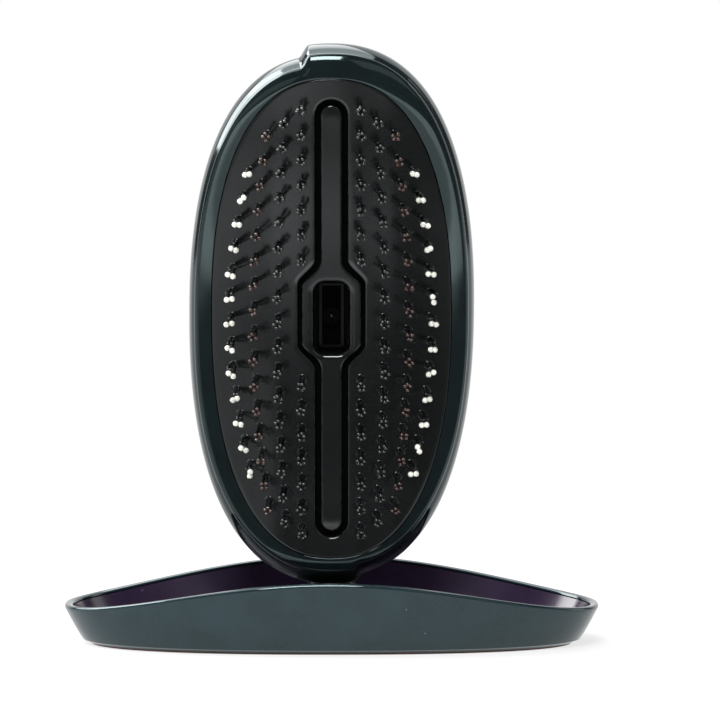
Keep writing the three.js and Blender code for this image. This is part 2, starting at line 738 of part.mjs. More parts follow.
// A cell along y, its positive cap towards +y.
function batteryCell() {
  const half = BATTERY_LENGTH / 2;
  const cap = 1;
  return turned(
    [
      [0, -half],
      [BATTERY_RADIUS - 0.4, -half],
      [BATTERY_RADIUS, -half + 0.4],
      [BATTERY_RADIUS, half - cap - 0.4],
      [BATTERY_RADIUS - 0.4, half - cap],
      [BATTERY_RADIUS * 0.36, half - cap],
      [BATTERY_RADIUS * 0.36, half],
      [0, half],
    ],
    14,
  ).rotateX(-Math.PI / 2);
}

// A contact plate across a share of the tray, with conical springs where cells rest on them.
function contactPlate(places, width, direction, springAt) {
  const plate = new THREE.BoxGeometry(width, CONTACT_THICK, BATTERY_RADIUS * 1.4);
  const springs = springAt.map((x) =>
    turned(
      [
        [0, 0],
        [BATTERY_RADIUS * 0.7, 0],
        [BATTERY_RADIUS * 0.45, SPRING_LENGTH * 0.5],
        [BATTERY_RADIUS * 0.3, SPRING_LENGTH],
        [0, SPRING_LENGTH],
      ],
      14,
    )
      .rotateX((-direction * Math.PI) / 2)
      .translate(x, 0, 0),
  );
  return join(plate.translate(places, 0, 0), ...springs);
}

// Board, switch and lamp
const circuitBoard = () =>
  prism(roundedRectangle(BOARD_WIDTH, BOARD_LENGTH, 2), boardBottom, boardTop, 3);
const switchTop = boardBottom - GAP;
const plungerTip = switchTop - SWITCH_HEIGHT - PLUNGER_HEIGHT;
const tactSwitch = () =>
  join(
    box(SWITCH_SIZE, SWITCH_SIZE, switchTop - SWITCH_HEIGHT, switchTop),
    rod(PLUNGER_RADIUS, plungerTip, switchTop - SWITCH_HEIGHT / 2),
  );
const statusLed = () => box(LED_WIDTH, LED_WIDTH, switchTop - LED_HEIGHT, switchTop);

// Depth of the shell's outer surface on its centre line.
function backZ(y) {
  const edge = FACE_HALF_LENGTH + lobe(Math.PI / 2) + FLARE_TOP;
  const scale = Math.abs(y) / edge;
  const turn = Math.acos(scale ** (1 / BACK_FULLNESS));
  const girthZ = faceZ(0, FACE_HALF_LENGTH) - GIRTH_DROP;
  return lerp(girthZ, -BACK_DEPTH, Math.sin(turn) ** BACK_FULLNESS);
}

function statusLens() {
  const outside = backZ(LENS_Y);
  return rod(LENS_RADIUS, outside + GAP, switchTop - LED_HEIGHT - GAP, 12);
}

// Power button: a domed cap through the shell, a flange that keeps it in, and a stem.
function powerButton() {
  const outside = backZ(BUTTON_Y);
  const inside = backZ(BUTTON_Y + BUTTON_RADIUS + BUTTON_FLANGE) + WALL + 2 * GAP;
  const stemTip = plungerTip - BUTTON_TRAVEL - GAP;
  return turned(
    [
      [0, outside - BUTTON_PROUD],
      [BUTTON_RADIUS * 0.6, outside - BUTTON_PROUD * 0.8],
      [BUTTON_RADIUS * 0.92, outside - BUTTON_PROUD * 0.3],
      [BUTTON_RADIUS, outside + BUTTON_PROUD * 0.4],
      [BUTTON_RADIUS, inside],
      [BUTTON_RADIUS + BUTTON_FLANGE, inside],
      [BUTTON_RADIUS + BUTTON_FLANGE, inside + BUTTON_FLANGE],
      [STEM_RADIUS, inside + BUTTON_FLANGE],
      [STEM_RADIUS, stemTip],
      [0, stemTip],
    ],
    20,
  );
}

// Vibration motor along y, its clamp and its off-centre weight
const motorZ = hangFrom - MOTOR_RADIUS;
const motorFront = MOTOR_LENGTH / 2;

function motorCan() {
  const can = rod(MOTOR_RADIUS, -motorFront, motorFront, 20);
  const nose = rod(MOTOR_RADIUS * 0.4, 0, motorFront + GAP, 12);
  const bearing = rod(SHAFT_RADIUS + RUNNING_GAP, motorFront - 4, motorFront + CUT, 12);
  return cut(join(can, nose), bearing).rotateX(-Math.PI / 2);
}

const motorShaft = () =>
  rod(SHAFT_RADIUS, motorFront - 4 + GAP, weightStart + WEIGHT_LENGTH + GAP, 10).rotateX(
    -Math.PI / 2,
  );
const weightStart = motorFront + GAP + RUNNING_GAP;

function eccentricWeight() {
  const half = new THREE.Shape()
    .absarc(0, 0, WEIGHT_RADIUS, Math.PI, 2 * Math.PI)
    .lineTo(SHAFT_RADIUS * 2.4, SHAFT_RADIUS * 2.4)
    .lineTo(-SHAFT_RADIUS * 2.4, SHAFT_RADIUS * 2.4);
  const weight = prism(half, weightStart, weightStart + WEIGHT_LENGTH, 12);
  const bore = rod(SHAFT_RADIUS + GAP, weightStart - CUT, weightStart + WEIGHT_LENGTH + CUT, 10);
  return cut(weight, bore).rotateX(-Math.PI / 2);
}

// A strap bent round the can, with its feet up against the chassis.
function motorClamp() {
  const inner = MOTOR_RADIUS + GAP;
  const outer = inner + CLAMP_WALL;
  const foot = outer + CLAMP_FOOT;
  const top = MOTOR_RADIUS;
  const strap = new THREE.Shape()
    .moveTo(-foot, top)
    .lineTo(-foot, top - CLAMP_WALL)
    .lineTo(-outer, top - CLAMP_WALL)
    .lineTo(-outer, 0)
    .absarc(0, 0, outer, Math.PI, 2 * Math.PI)
    .lineTo(outer, top - CLAMP_WALL)
    .lineTo(foot, top - CLAMP_WALL)
    .lineTo(foot, top)
    .lineTo(inner, top)
    .lineTo(inner, 0)
    .absarc(0, 0, inner, 0, Math.PI, true)
    .lineTo(-inner, top);
  return prism(strap, -CLAMP_LENGTH / 2, CLAMP_LENGTH / 2, 8).rotateX(Math.PI / 2);
}

const ionModule = () =>
  prism(roundedRectangle(ION_WIDTH, ION_LENGTH, 1.5), hangFrom - ION_HEIGHT, hangFrom, 3);

// Cover: a boat-shaped shell with a saddle rim, a dark liner, a foot pad and the brush's cradle

const COVER_SAMPLES = 40;

// A ring of the cover. Its outline grows from the base to the rim by a share, and lift sets its
// height from the share and the height of the rim there.
function coverRing(share, inset, lift) {
  return Array.from({ length: COVER_SAMPLES }, (_, i) => {
    const angle = (2 * Math.PI * i) / COVER_SAMPLES;
    const base = superellipse(BASE_HALF_LENGTH, BASE_HALF_WIDTH, angle, -inset);
    const rim = superellipse(RIM_HALF_LENGTH, RIM_HALF_WIDTH, angle, -inset);
    const across = Math.abs(superellipse(RIM_HALF_LENGTH, RIM_HALF_WIDTH, angle).x);
    const rimHeight =
      RIM_END_HEIGHT +
      RIM_RISE * Math.max(0, Math.cos((Math.PI * across) / (2 * RIM_HALF_LENGTH))) ** SADDLE_EASE;
    return point(lerp(base.x, rim.x, share), lerp(base.y, rim.y, share), lift(rimHeight));
  });
}

const wallShare = (share) => share ** 0.85;
const onWall = (share, inset, below = 0) =>
  coverRing(wallShare(share), inset, (rim) => lerp(BASE_LIFT, rim, share) - below);
const lipInset = COVER_WALL + GAP + LINER_WALL;

function coverShell() {
  const floorTop = BASE_LIFT + BASE_PAD_THICK + GAP + COVER_WALL;
  const body = loft([
    coverRing(0, BASE_EDGE, () => BASE_LIFT),
    coverRing(0, BASE_EDGE * 0.4, () => BASE_LIFT + BASE_EDGE * 0.15),
    coverRing(0.06, 0, () => BASE_LIFT + BASE_EDGE * 0.7),
    onWall(0.5, 0),
    onWall(0.94, 0),
    coverRing(1, lipInset * 0.25, (rim) => rim - LIP_HEIGHT * 0.1),
    coverRing(1, lipInset * 0.6, (rim) => rim),
    coverRing(1, lipInset, (rim) => rim - LIP_HEIGHT * 0.3),
    coverRing(0.98, lipInset, (rim) => rim - LIP_HEIGHT),
    coverRing(0.98, COVER_WALL, (rim) => rim - LIP_HEIGHT),
    onWall(0.5, COVER_WALL),
    coverRing(0.06, COVER_WALL + 1, () => floorTop + 1),
    coverRing(0, FLOOR_INSET, () => floorTop),
  ]);
  return cut(body, footPad(PAD_INSET, GAP));
}

// The foot pad, or with a clearance the recess that it sits in.
function footPad(inset, clearance) {
  const outline = (height) => coverRing(0, BASE_EDGE + inset - clearance, () => height);
  const low = clearance ? -CUT : 0;
  return loft([outline(low), outline(BASE_LIFT + BASE_PAD_THICK - GAP + clearance)]);
}

const linerFloor = BASE_LIFT + BASE_PAD_THICK + GAP + COVER_WALL + GAP;

function coverLiner() {
  const outside = COVER_WALL + GAP;
  const inside = outside + LINER_WALL;
  const top = (rim) => rim - LIP_HEIGHT - GAP;
  const body = loft([
    coverRing(0, FLOOR_INSET + GAP, () => linerFloor),
    coverRing(0.06, outside + 1, () => linerFloor + 1),
    onWall(0.5, outside),
    coverRing(0.97, outside, top),
    coverRing(0.97, inside, top),
    onWall(0.5, inside, -0.2),
    coverRing(0.06, inside + 1, () => linerFloor + LINER_WALL + 1),
    coverRing(0, FLOOR_INSET + GAP + LINER_WALL, () => linerFloor + LINER_WALL),
  ]);
  const lugs = [-1, 1].map((side) => {
    const reach = RIM_HALF_LENGTH - inside - 1;
    const lug = new THREE.BoxGeometry(LUG_REACH * 2, LUG_WIDTH, 1.2);
    return lug.translate(side * (reach - LUG_REACH * 0.7), 0, RIM_END_HEIGHT - LIP_HEIGHT - 1.4);
  });
  return join(body, ...lugs);
}

// The outside of the brush, grown by a clearance, as the cradle's pocket.
function brushEnvelope(clearance) {
  return loft([
    brushRing((angle) => lobe(angle) - frameEdge(angle), FRAME_PROUD + clearance),
    brushRing((angle) => lobe(angle) + clearance, 0),
    brushRing((angle) => lobe(angle) + clearance, land),
    shoulderRing(clearance),
    ...domeRings(-clearance),
  ]);
}

function standCradle(brushMatrix) {
  const foot = linerFloor + LINER_WALL + GAP;
  const samples = 28;
  const ring = (height, inset) =>
    Array.from({ length: samples }, (_, i) => {
      const angle = (2 * Math.PI * i) / samples;
      const p = superellipse(CRADLE_HALF_LENGTH, CRADLE_HALF_WIDTH, angle, -inset);
      return point(p.x, p.y, height(p.y));
    });
  const top = (y) => lerp(CRADLE_TOP, BACKREST_TOP, smoothstep(y, 0, CRADLE_HALF_WIDTH));
  const block = loft([
    ring(() => foot, 0),
    ring((y) => top(y) - 1.5, 1.5),
    ring(top, 3),
  ]);
  return cut(block, brushEnvelope(2 * GAP).applyMatrix4(brushMatrix));
}

// Assembly

function piece(parent, name, geometry, material, x = 0, y = 0, z = 0) {
  const mesh = new THREE.Mesh(geometry, material);
  mesh.name = name;
  mesh.position.set(x, y, z);
  parent.add(mesh);
}

const scalpBrush = new THREE.Group();
const cover = new THREE.Group();
const brush = new THREE.Group();
scalpBrush.add(cover, brush);
brush.rotation.x = Math.PI / 2 + STAND_TILT;
brush.position.set(0, -STAND_FORWARD, STAND_HEIGHT);
brush.updateMatrix();

piece(cover, "cover_shell", coverShell(), shellPlastic);
piece(cover, "cover_liner", coverLiner(), linerPlastic);
piece(cover, "foot_pad", footPad(PAD_INSET, 0), footRubber);
piece(cover, "stand_cradle", standCradle(brush.matrix), softRubber);

piece(brush, "front_frame", frontFrame(), shellPlastic);
piece(brush, "bristle_pad_center", bristlePadCenter(), blackResin);
piece(brush, "bristle_strip_left", bristleStrip(-1), amberResin);
piece(brush, "bristle_strip_right", bristleStrip(1), amberResin);
piece(brush, "center_spine", centerSpine(), padRubber);
piece(brush, "bristle_bed", bristleBed(), innerPlastic);
piece(brush, "seal_ring", sealRing(), softRubber);
piece(brush, "port_liner", portLiner(), padRubber);
piece(brush, "emitter_holder", emitterHolder(), innerPlastic);
piece(brush, "emitter_needle", emitterNeedle(), steel);
piece(brush, "ground_ring", groundRing(), steel);

piece(brush, "back_shell", backShell(), shellPlastic);
piece(brush, "battery_door", batteryDoor(), shellPlastic);
piece(brush, "power_button", powerButton(), softRubber, 0, BUTTON_Y);
piece(brush, "status_lens", statusLens(), clearLens, 0, LENS_Y);

piece(brush, "chassis", chassis(), innerPlastic);
screwPlaces.forEach(([x, y], i) => {
  piece(brush, "chassis_screw_" + (i + 1), housingScrew(), steel, x, y);
});
piece(brush, "circuit_board", circuitBoard(), boardGreen, 0, BOARD_MIDDLE);
piece(brush, "tact_switch", tactSwitch(), innerPlastic, 0, BUTTON_Y);
piece(brush, "status_led", statusLed(), clearLens, 0, LENS_Y);
piece(brush, "ion_module", ionModule(), innerPlastic, ION_X, ION_Y);

const wallContact = BATTERY_MIDDLE + trayHalfLength - GAP - CONTACT_THICK / 2;
const farContact = BATTERY_MIDDLE - trayHalfLength + GAP + CONTACT_THICK / 2;
const flippedCell = batteryCell().rotateZ(Math.PI);
piece(brush, "battery_left", batteryCell(), cellWrap, -batteryX, BATTERY_MIDDLE, batteryZ);
piece(brush, "battery_right", flippedCell, cellWrap, batteryX, BATTERY_MIDDLE, batteryZ);
const contactWidth = 2 * BATTERY_RADIUS - 1;
const bridge = contactPlate(0, 2 * batteryX + contactWidth, 1, [-batteryX, batteryX]);
const terminal = contactPlate(0, contactWidth, -1, [0]);
piece(brush, "bridge_contact", bridge, brass, 0, farContact, batteryZ);
piece(brush, "terminal_left", terminal, brass, -batteryX, wallContact, batteryZ);
piece(brush, "terminal_right", terminal, brass, batteryX, wallContact, batteryZ);

piece(brush, "motor_can", motorCan(), steel, MOTOR_X, MOTOR_Y, motorZ);
piece(brush, "motor_shaft", motorShaft(), steel, MOTOR_X, MOTOR_Y, motorZ);
piece(brush, "eccentric_weight", eccentricWeight(), brass, MOTOR_X, MOTOR_Y, motorZ);
piece(brush, "motor_clamp", motorClamp(), steel, MOTOR_X, MOTOR_Y, motorZ);

export default scalpBrush;
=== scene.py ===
import math
import random

import bmesh
import bpy
from mathutils import Matrix, Vector


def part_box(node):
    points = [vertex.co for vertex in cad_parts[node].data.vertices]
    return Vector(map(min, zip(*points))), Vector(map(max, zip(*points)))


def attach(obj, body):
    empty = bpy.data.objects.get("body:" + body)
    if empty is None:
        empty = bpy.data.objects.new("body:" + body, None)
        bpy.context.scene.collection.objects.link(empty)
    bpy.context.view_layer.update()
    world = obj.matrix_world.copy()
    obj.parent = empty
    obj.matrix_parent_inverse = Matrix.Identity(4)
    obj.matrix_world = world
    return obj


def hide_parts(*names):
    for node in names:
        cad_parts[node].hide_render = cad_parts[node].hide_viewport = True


bl_info = {
    "name": "Scalp Brush",
    "version": (1, 0, 0),
    "blender": (4, 5, 0),
    "location": "View3D > Sidebar > Scalp Brush",
    "description": "Dresses a powered scalp brush that stands upright in its cover",
    "category": "Add Mesh",
}

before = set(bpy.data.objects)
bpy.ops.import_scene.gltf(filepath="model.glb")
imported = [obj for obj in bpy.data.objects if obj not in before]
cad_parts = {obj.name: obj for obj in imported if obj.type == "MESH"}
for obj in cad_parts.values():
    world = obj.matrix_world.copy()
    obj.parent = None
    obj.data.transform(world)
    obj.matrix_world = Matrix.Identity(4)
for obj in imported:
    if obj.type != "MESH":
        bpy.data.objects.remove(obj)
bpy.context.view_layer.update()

MM = 0.001
GAP = 0.3 * MM  # between pieces that touch
COVER_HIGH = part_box("cover_shell")[1]
STRIP_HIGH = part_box("bristle_strip_right")[1]

# Shape of the brush, which is drawn face up: x across it, y along it, z towards the bristle tips
OUTLINE_POWER = 2.35
CROWN_RADIUS = 110 * MM
SADDLE_LENGTH = 140 * MM
SADDLE_EASE = 1.45
STEP_ANGLE = math.radians(95.8)
STEP_SPAN = math.radians(4.4)
LOBE_EASE = 2.4
FRAME_DEPTH = 3 * MM
GIRTH_DROP = 9 * MM
BACK_DEPTH = 24 * MM
BACK_FULLNESS = 0.85
SHELL_WALL = 2 * MM
TIP_PLANE = 16.5 * MM
LOBE_SWELL = 0.32  # the frame is this share wider at its top
LOBE_SHRINK = 0.2  # and this share narrower at its bottom
FLARE_SIDE = 1.6 * MM
FLARE_TOP = 1.9 * MM
FLARE_BOTTOM = 4.3 * MM
SEAM = 0.08 * MM  # from the outline of the face to the pad, and to the frame
END_CURL = 0.5 * MM
ROW_PITCH = 6.47 * MM
FIRST_ROW = 54.4 * MM
WINDOW_WIDTH = 9.3 * MM
WINDOW_LENGTH = 18.8 * MM
WINDOW_CORNER = 3 * MM
BEZEL_MIDDLE = 0.8 * MM
BULGE_HALF_WIDTH = 8.7 * MM  # of the channel beside the window
BUTTON_Y = 20 * MM
BUTTON_RADIUS = 7 * MM
LENS_Y = 33 * MM
LENS_RADIUS = 1.6 * MM
DOOR_Y = -23 * MM
DOOR_HALF_WIDTH = 15 * MM
DOOR_HALF_LENGTH = 27 * MM
DOOR_CORNER = 6 * MM
DOOR_GAP = 0.4 * MM
RIM_END = 10.4 * MM  # height of the cover's rim at its ends

# How the brush stands in its cover
STAND_HEIGHT = 85.65 * MM
STAND_TILT = math.radians(4)
STAND_FORWARD = 2.5 * MM

# Where the photograph was taken from
VIEW_AIM = Vector((7.4 * MM, -20 * MM, 75.1 * MM))
VIEW_DISTANCE = 1.4
VIEW_PITCH = math.radians(4)
PIXELS_PER_METRE = 3895
IMAGE_WIDTH = 720


def length(name, description, default):
    return bpy.props.FloatProperty(
        name=name, description=description, default=default, unit="LENGTH")


def watts(name, description, default):
    return bpy.props.FloatProperty(
        name=name, description=description, default=default, min=0, unit="POWER")


def colour(name, description, default):
    return bpy.props.FloatVectorProperty(
        name=name, description=description, subtype="COLOR", size=3, min=0, max=1, default=default)


class ScalpBrushSizes(bpy.types.PropertyGroup):
    """Sizes of the brush and its cover."""

    face_half_width: length(
        "Face half width", "Half the width of the bristle face", STRIP_HIGH.x + GAP)
    face_half_length: length(
        "Face half length", "Half the length of the bristle face", 62.3 * MM)
    face_height: length(
        "Face height", "Height of the middle of the face above the brush's origin", 6.5 * MM)
    saddle: length("Saddle", "Rise of the face from its middle to its ends", 4 * MM)
    lobe_thick: length(
        "Frame at its step", "Width of the front frame where it is thickest", 5 * MM)
    lobe_taper: length("Frame taper", "How much narrower the frame gets half way round", 2.25 * MM)
    channel_half_width: length(
        "Channel half width", "Half the width of the channel down the face", 4.2 * MM)
    channel_half_length: length("Channel half length", "Half the length of the channel", 56.9 * MM)
    rim_half_length: length("Rim half length", "Half the length of the cover's rim", COVER_HIGH.x)
    rim_half_width: length("Rim half width", "Half the width of the cover's rim", COVER_HIGH.y)
    base_inset: length("Base inset", "How far the cover's base stays inside its rim", 5.7 * MM)
    rim_end_height: length("Rim end height", "Height of the cover's rim at its two ends", RIM_END)
    rim_rise: length("Rim rise", "How much higher the rim is at its middle", COVER_HIGH.z - RIM_END)


class ScalpBrushColours(bpy.types.PropertyGroup):
    """Colours of the finishes, as scene-linear values."""

    shell: colour("Shell", "Green-black gloss of the frame and palm shell", (0.004, 0.0075, 0.008))
    cover: colour("Cover", "Green-grey gloss of the cover", (0.009, 0.018, 0.023))
    pad: colour("Pad", "Near-black of the bristle face", (0.004, 0.0045, 0.0045))
    liner: colour("Liner", "Dark purple inside the cover", (0.020, 0.011, 0.030))
    foot: colour("Foot pad", "Reddish brown under the cover", (0.11, 0.04, 0.025))
    rubber: colour("Rubber", "Black of the cradle, seal and button", (0.013, 0.013, 0.014))
    amber: colour("Amber tips", "Translucent brown of the third column", (0.04, 0.014, 0.008))
    pearl: colour("White tips", "Warm white of the outer column", (0.66, 0.66, 0.60))
    inner: colour("Inner plastic", "Grey of the chassis", (0.045, 0.048, 0.050))


class ScalpBrushStage(bpy.types.PropertyGroup):
    """Light and floor around the object."""

    key_power: watts("Key lamp", "Soft box above and in front of the object", 11.5)
    rear_power: watts("Rear lamp", "Soft box above and behind the object", 17)
    left_power: watts("Left panel", "Wide dim panel in front on the left", 0.95)
    right_power: watts("Right panel", "Dim panel above in front on the right", 1.0)
    floor_power: watts("Floor panel", "Strip that lights the front of the table", 0.075)
    side_power: watts("Side lamps", "Right lamp; the upper left one is many times stronger", 1.2)
    room: bpy.props.FloatProperty(
        name="Room", description="Brightness of the room around the table", default=0.12, min=0)
    table_front: length("Table front", "How far the table reaches in front of the object", 0.42)


def sizes():
    return bpy.context.scene.scalp_brush_sizes


def colours():
    return bpy.context.scene.scalp_brush_colours


# Shader graphs


class Level:
    """A shader value: Python's operators on it add Math nodes."""

    def __init__(self, finish, socket):
        self.finish = finish
        self.socket = socket

    def math(self, operation, *values):
        inputs = dict(enumerate(values))
        return self.finish.node("ShaderNodeMath", {"operation": operation}, inputs)

    def __add__(self, other):
        return self.math("ADD", self, other)

    def __sub__(self, other):
        return self.math("SUBTRACT", self, other)

    def __rsub__(self, other):
        return self.math("SUBTRACT", other, self)

    def __mul__(self, other):
        return self.math("MULTIPLY", self, other)

    def __lt__(self, other):
        return self.math("LESS_THAN", self, other)

    def most(self, other):
        return self.math("MAXIMUM", self, other)

    __radd__ = __add__
    __rmul__ = __mul__


class Finish:
    """A node material under construction, with Object coordinates in metres."""

    def __init__(self, name):
        self.material = bpy.data.materials.new(name)
        self.material.use_nodes = True
        self.tree = self.material.node_tree
        self.tree.nodes.clear()
        self.place = self.node("ShaderNodeTexCoord", output="Object")

    def node(self, kind, settings=None, inputs=None, output=0):
        made = self.tree.nodes.new(kind)
        for name, value in (settings or {}).items():
            if name == "stops":
                self.set_stops(made.color_ramp, value)
            else:
                setattr(made, name, value)
        for name, value in (inputs or {}).items():
            if isinstance(value, Level):
                self.tree.links.new(value.socket, made.inputs[name])
            else:
                made.inputs[name].default_value = value
        return Level(self, made.outputs[output]) if len(made.outputs) else None

    def set_stops(self, ramp, stops):
        while len(ramp.elements) < len(stops):
            ramp.elements.new(1)
        for element, (position, value) in zip(ramp.elements, stops):
            element.position = position
            element.color = (value, value, value, 1)

    def noise(self, size, detail=2.0, stretch=(1, 1, 1)):
        """Soft mottling whose patches are about as wide as size, in metres."""
        place = self.node("ShaderNodeMapping", None, {"Vector": self.place, "Scale": stretch})
        inputs = {"Vector": place, "Scale": 1 / size, "Detail": detail}
        return self.node("ShaderNodeTexNoise", None, inputs, "Fac")

    def ramp(self, value, low, high):
        """value from 0 at low to 1 at high."""
        inputs = {"Value": value, "From Min": low, "From Max": high}
        return self.node("ShaderNodeMapRange", {"clamp": True}, inputs)

    def mix(self, share, first, second):
        """A colour between two, each a Level or red, green and blue."""
        inputs = {0: share, 6: opaque(first), 7: opaque(second)}
        return self.node("ShaderNodeMix", {"data_type": "RGBA"}, inputs, 2)

    def specks(self, spacing, size, share):
        """Round specks of about size, in metres, in a share of the cells that are spacing wide."""
        cells = {"Vector": self.place, "Scale": 1 / spacing}
        far = self.node("ShaderNodeTexVoronoi", None, cells, "Distance")
        chance = self.node("ShaderNodeTexVoronoi", None, cells, "Color")
        chosen = self.node("ShaderNodeSeparateColor", None, {"Color": chance}) < share
        return (far < size / spacing) * chosen

    def bump(self, height, depth):
        """A normal for a height map whose full range is depth, in metres."""
        inputs = {"Height": height, "Distance": depth, "Strength": 1.0}
        return self.node("ShaderNodeBump", None, inputs)

    def surface(self, **inputs):
        """The Principled shader, with its inputs named in small letters."""
        named = {name.replace("_", " ").title(): value for name, value in inputs.items()}
        named = {name.replace("Ior", "IOR"): value for name, value in named.items()}
        shader = self.node("ShaderNodeBsdfPrincipled", None, named)
        self.node("ShaderNodeOutputMaterial", None, {"Surface": shader})
        return self.material


def opaque(value):
    return value if isinstance(value, Level) else (*value, 1)


def lighter(base, factor):
    return tuple(min(1, channel * factor) for channel in base)


SHEEN = (0.78, 0.98, 1.0)  # tint of what the green-black gloss reflects


def gloss_plastic(name, base, roughness=0.07, tint=(1, 1, 1)):
    """Glossy moulded plastic: faint mottling, wiped haze, fine ripple and a little dust."""
    finish = Finish(name)
    mottle = finish.noise(9 * MM, 3)
    haze = finish.noise(16 * MM, 4, (1, 1, 0.4))
    specks = finish.specks(2.4 * MM, 0.11 * MM, 0.03)
    tone = finish.mix(finish.ramp(mottle, 0.3, 0.75), lighter(base, 0.8), lighter(base, 1.25))
    dusty = finish.mix(specks * 0.65, tone, (0.6, 0.6, 0.58))
    ripple = finish.noise(3.2 * MM, 1)
    return finish.surface(
        base_color=dusty,
        roughness=roughness + finish.ramp(haze, 0.45, 0.8) * 0.05 + specks * 0.5,
        normal=finish.bump(ripple, 0.003 * MM),
        ior=1.55,
        specular_tint=(*tint, 1),
    )


def soft_plastic(name, base, roughness=0.5, shine=0.5):
    """Rubber or unpolished plastic with a fine moulded grain."""
    finish = Finish(name)
    fine = finish.noise(0.35 * MM, 2)
    worn = finish.ramp(finish.noise(7 * MM, 4), 0.4, 0.75)
    tone = finish.mix(worn, lighter(base, 0.8), lighter(base, 1.45))
    return finish.surface(
        base_color=tone,
        roughness=roughness + fine * 0.15,
        normal=finish.bump(fine, 0.01 * MM),
        specular_ior_level=shine,
    )


def tip_resin(name, base, transmission, roughness=0.08, ior=1.5):
    """Clear or opaque resin of a ball tip, with cloudiness from tip to tip."""
    finish = Finish(name)
    cloud = finish.noise(2.6 * MM, 2)
    tone = finish.mix(finish.ramp(cloud, 0.3, 0.7), lighter(base, 0.7), lighter(base, 1.25))
    return finish.surface(
        base_color=tone,
        roughness=roughness + cloud * 0.02,
        transmission_weight=transmission,
        ior=ior,
    )


def bare_metal(name, base):
    """Drawn or stamped metal with fine lines along one way."""
    finish = Finish(name)
    lines = finish.noise(0.5 * MM, 3, (1, 1, 14))
    tone = finish.mix(finish.ramp(lines, 0.35, 0.7), lighter(base, 0.75), base)
    return finish.surface(
        base_color=tone,
        metallic=1.0,
        roughness=0.25 + lines * 0.2,
        normal=finish.bump(lines, 0.003 * MM),
    )


def board_lacquer():
    """Green lacquer over copper tracks, in bands that run one way across the board."""
    finish = Finish("board lacquer")
    along = finish.node("ShaderNodeTexWave", {"bands_direction": "X"},
                        {"Vector": finish.place, "Scale": 160, "Distortion": 3.0})
    tracks = finish.ramp(along, 0.7, 0.8)
    tone = finish.mix(tracks, (0.012, 0.075, 0.035), (0.03, 0.16, 0.07))
    return finish.surface(base_color=tone, roughness=0.35, normal=finish.bump(tracks, 0.02 * MM))


def cell_wrap():
    """Shrink film round a dry cell: plain blue with soft creases."""
    finish = Finish("cell wrap")
    crease = finish.noise(1.8 * MM, 3, (1, 1, 0.2))
    tone = finish.mix(finish.ramp(crease, 0.3, 0.8), (0.02, 0.08, 0.20), (0.03, 0.12, 0.28))
    return finish.surface(
        base_color=tone, roughness=0.3 + crease * 0.1, normal=finish.bump(crease, 0.01 * MM))


# Modelling helpers


def deselect():
    bpy.ops.object.select_all(action="DESELECT")


def make_active(piece):
    deselect()
    piece.select_set(True)
    bpy.context.view_layer.objects.active = piece


def weld(piece):
    """Closes the seams and poles of a wrapped piece and turns its faces out."""
    make_active(piece)
    bpy.ops.object.mode_set(mode="EDIT")
    bpy.ops.mesh.select_all(action="SELECT")
    bpy.ops.mesh.remove_doubles(threshold=0.002 * MM)
    bpy.ops.mesh.normals_make_consistent(inside=False)
    bpy.ops.object.mode_set(mode="OBJECT")


def wrapped(name, columns, rows, place):
    """A grid of columns by rows faces, wrapped into a closed shape: place takes the share of the
    way round and the share of the way across, and gives a point in metres."""
    deselect()
    bpy.ops.mesh.primitive_grid_add(x_subdivisions=columns, y_subdivisions=rows, size=1)
    piece = bpy.context.object
    piece.name = name
    for vertex in piece.data.vertices:
        vertex.co = place(vertex.co.x + 0.5, vertex.co.y + 0.5)
    weld(piece)
    return piece


def apply(piece, kind, **settings):
    modifier = piece.modifiers.new(kind.title(), kind)
    for name, value in settings.items():
        setattr(modifier, name, value)
    make_active(piece)
    bpy.ops.object.modifier_apply(modifier=modifier.name)


def boolean(piece, cutter, operation="DIFFERENCE"):
    apply(piece, "BOOLEAN", object=cutter, operation=operation, solver="EXACT")
    bpy.data.objects.remove(cutter)


def smooth(piece, degrees=32):
    make_active(piece)
    bpy.ops.object.shade_smooth_by_angle(angle=math.radians(degrees))


STAND = (
    Matrix.Translation((0, -STAND_FORWARD, STAND_HEIGHT))
    @ Matrix.Rotation(math.pi / 2 + STAND_TILT, 4, "X")
)


def stand_up(piece):
    """Takes a piece from the brush's own frame to where the brush stands."""
    piece.data.transform(STAND)


def stood(piece, degrees=32):
    """A finished piece of the brush, stood up and shaded."""
    stand_up(piece)
    smooth(piece, degrees)
    return piece


def stood_mesh(name, mesh, degrees):
    """A piece of the brush from a bmesh, which is freed."""
    data = bpy.data.meshes.new(name)
    mesh.to_mesh(data)
    mesh.free()
    piece = bpy.data.objects.new(name, data)
    bpy.context.scene.collection.objects.link(piece)
    return stood(piece, degrees)


def settle(piece, material, body, slot, *nodes):
    """Last step of every piece: its finish, its body and the CAD nodes it stands for. The slot is
    not used.
    """
    if not piece.data.materials:
        piece.data.materials.append(material)
    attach(piece, body)
    if nodes:
        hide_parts(*nodes)


# Curves of the brush


def lerp(a, b, share):
    return a + (b - a) * share


def smoothstep(value, low, high):
    share = min(1, max(0, (value - low) / (high - low)))
    return share * share * (3 - 2 * share)


def power(value, exponent):
    return math.copysign(abs(value) ** exponent, value)


def superellipse(half_width, half_length, angle, offset=0.0):
    x = half_width * power(math.cos(angle), 2 / OUTLINE_POWER)
    y = half_length * power(math.sin(angle), 2 / OUTLINE_POWER)
    out = Vector((
        power(x / half_width, OUTLINE_POWER - 1) / half_width,
        power(y / half_length, OUTLINE_POWER - 1) / half_length,
    )).normalized()
    return x + out.x * offset, y + out.y * offset


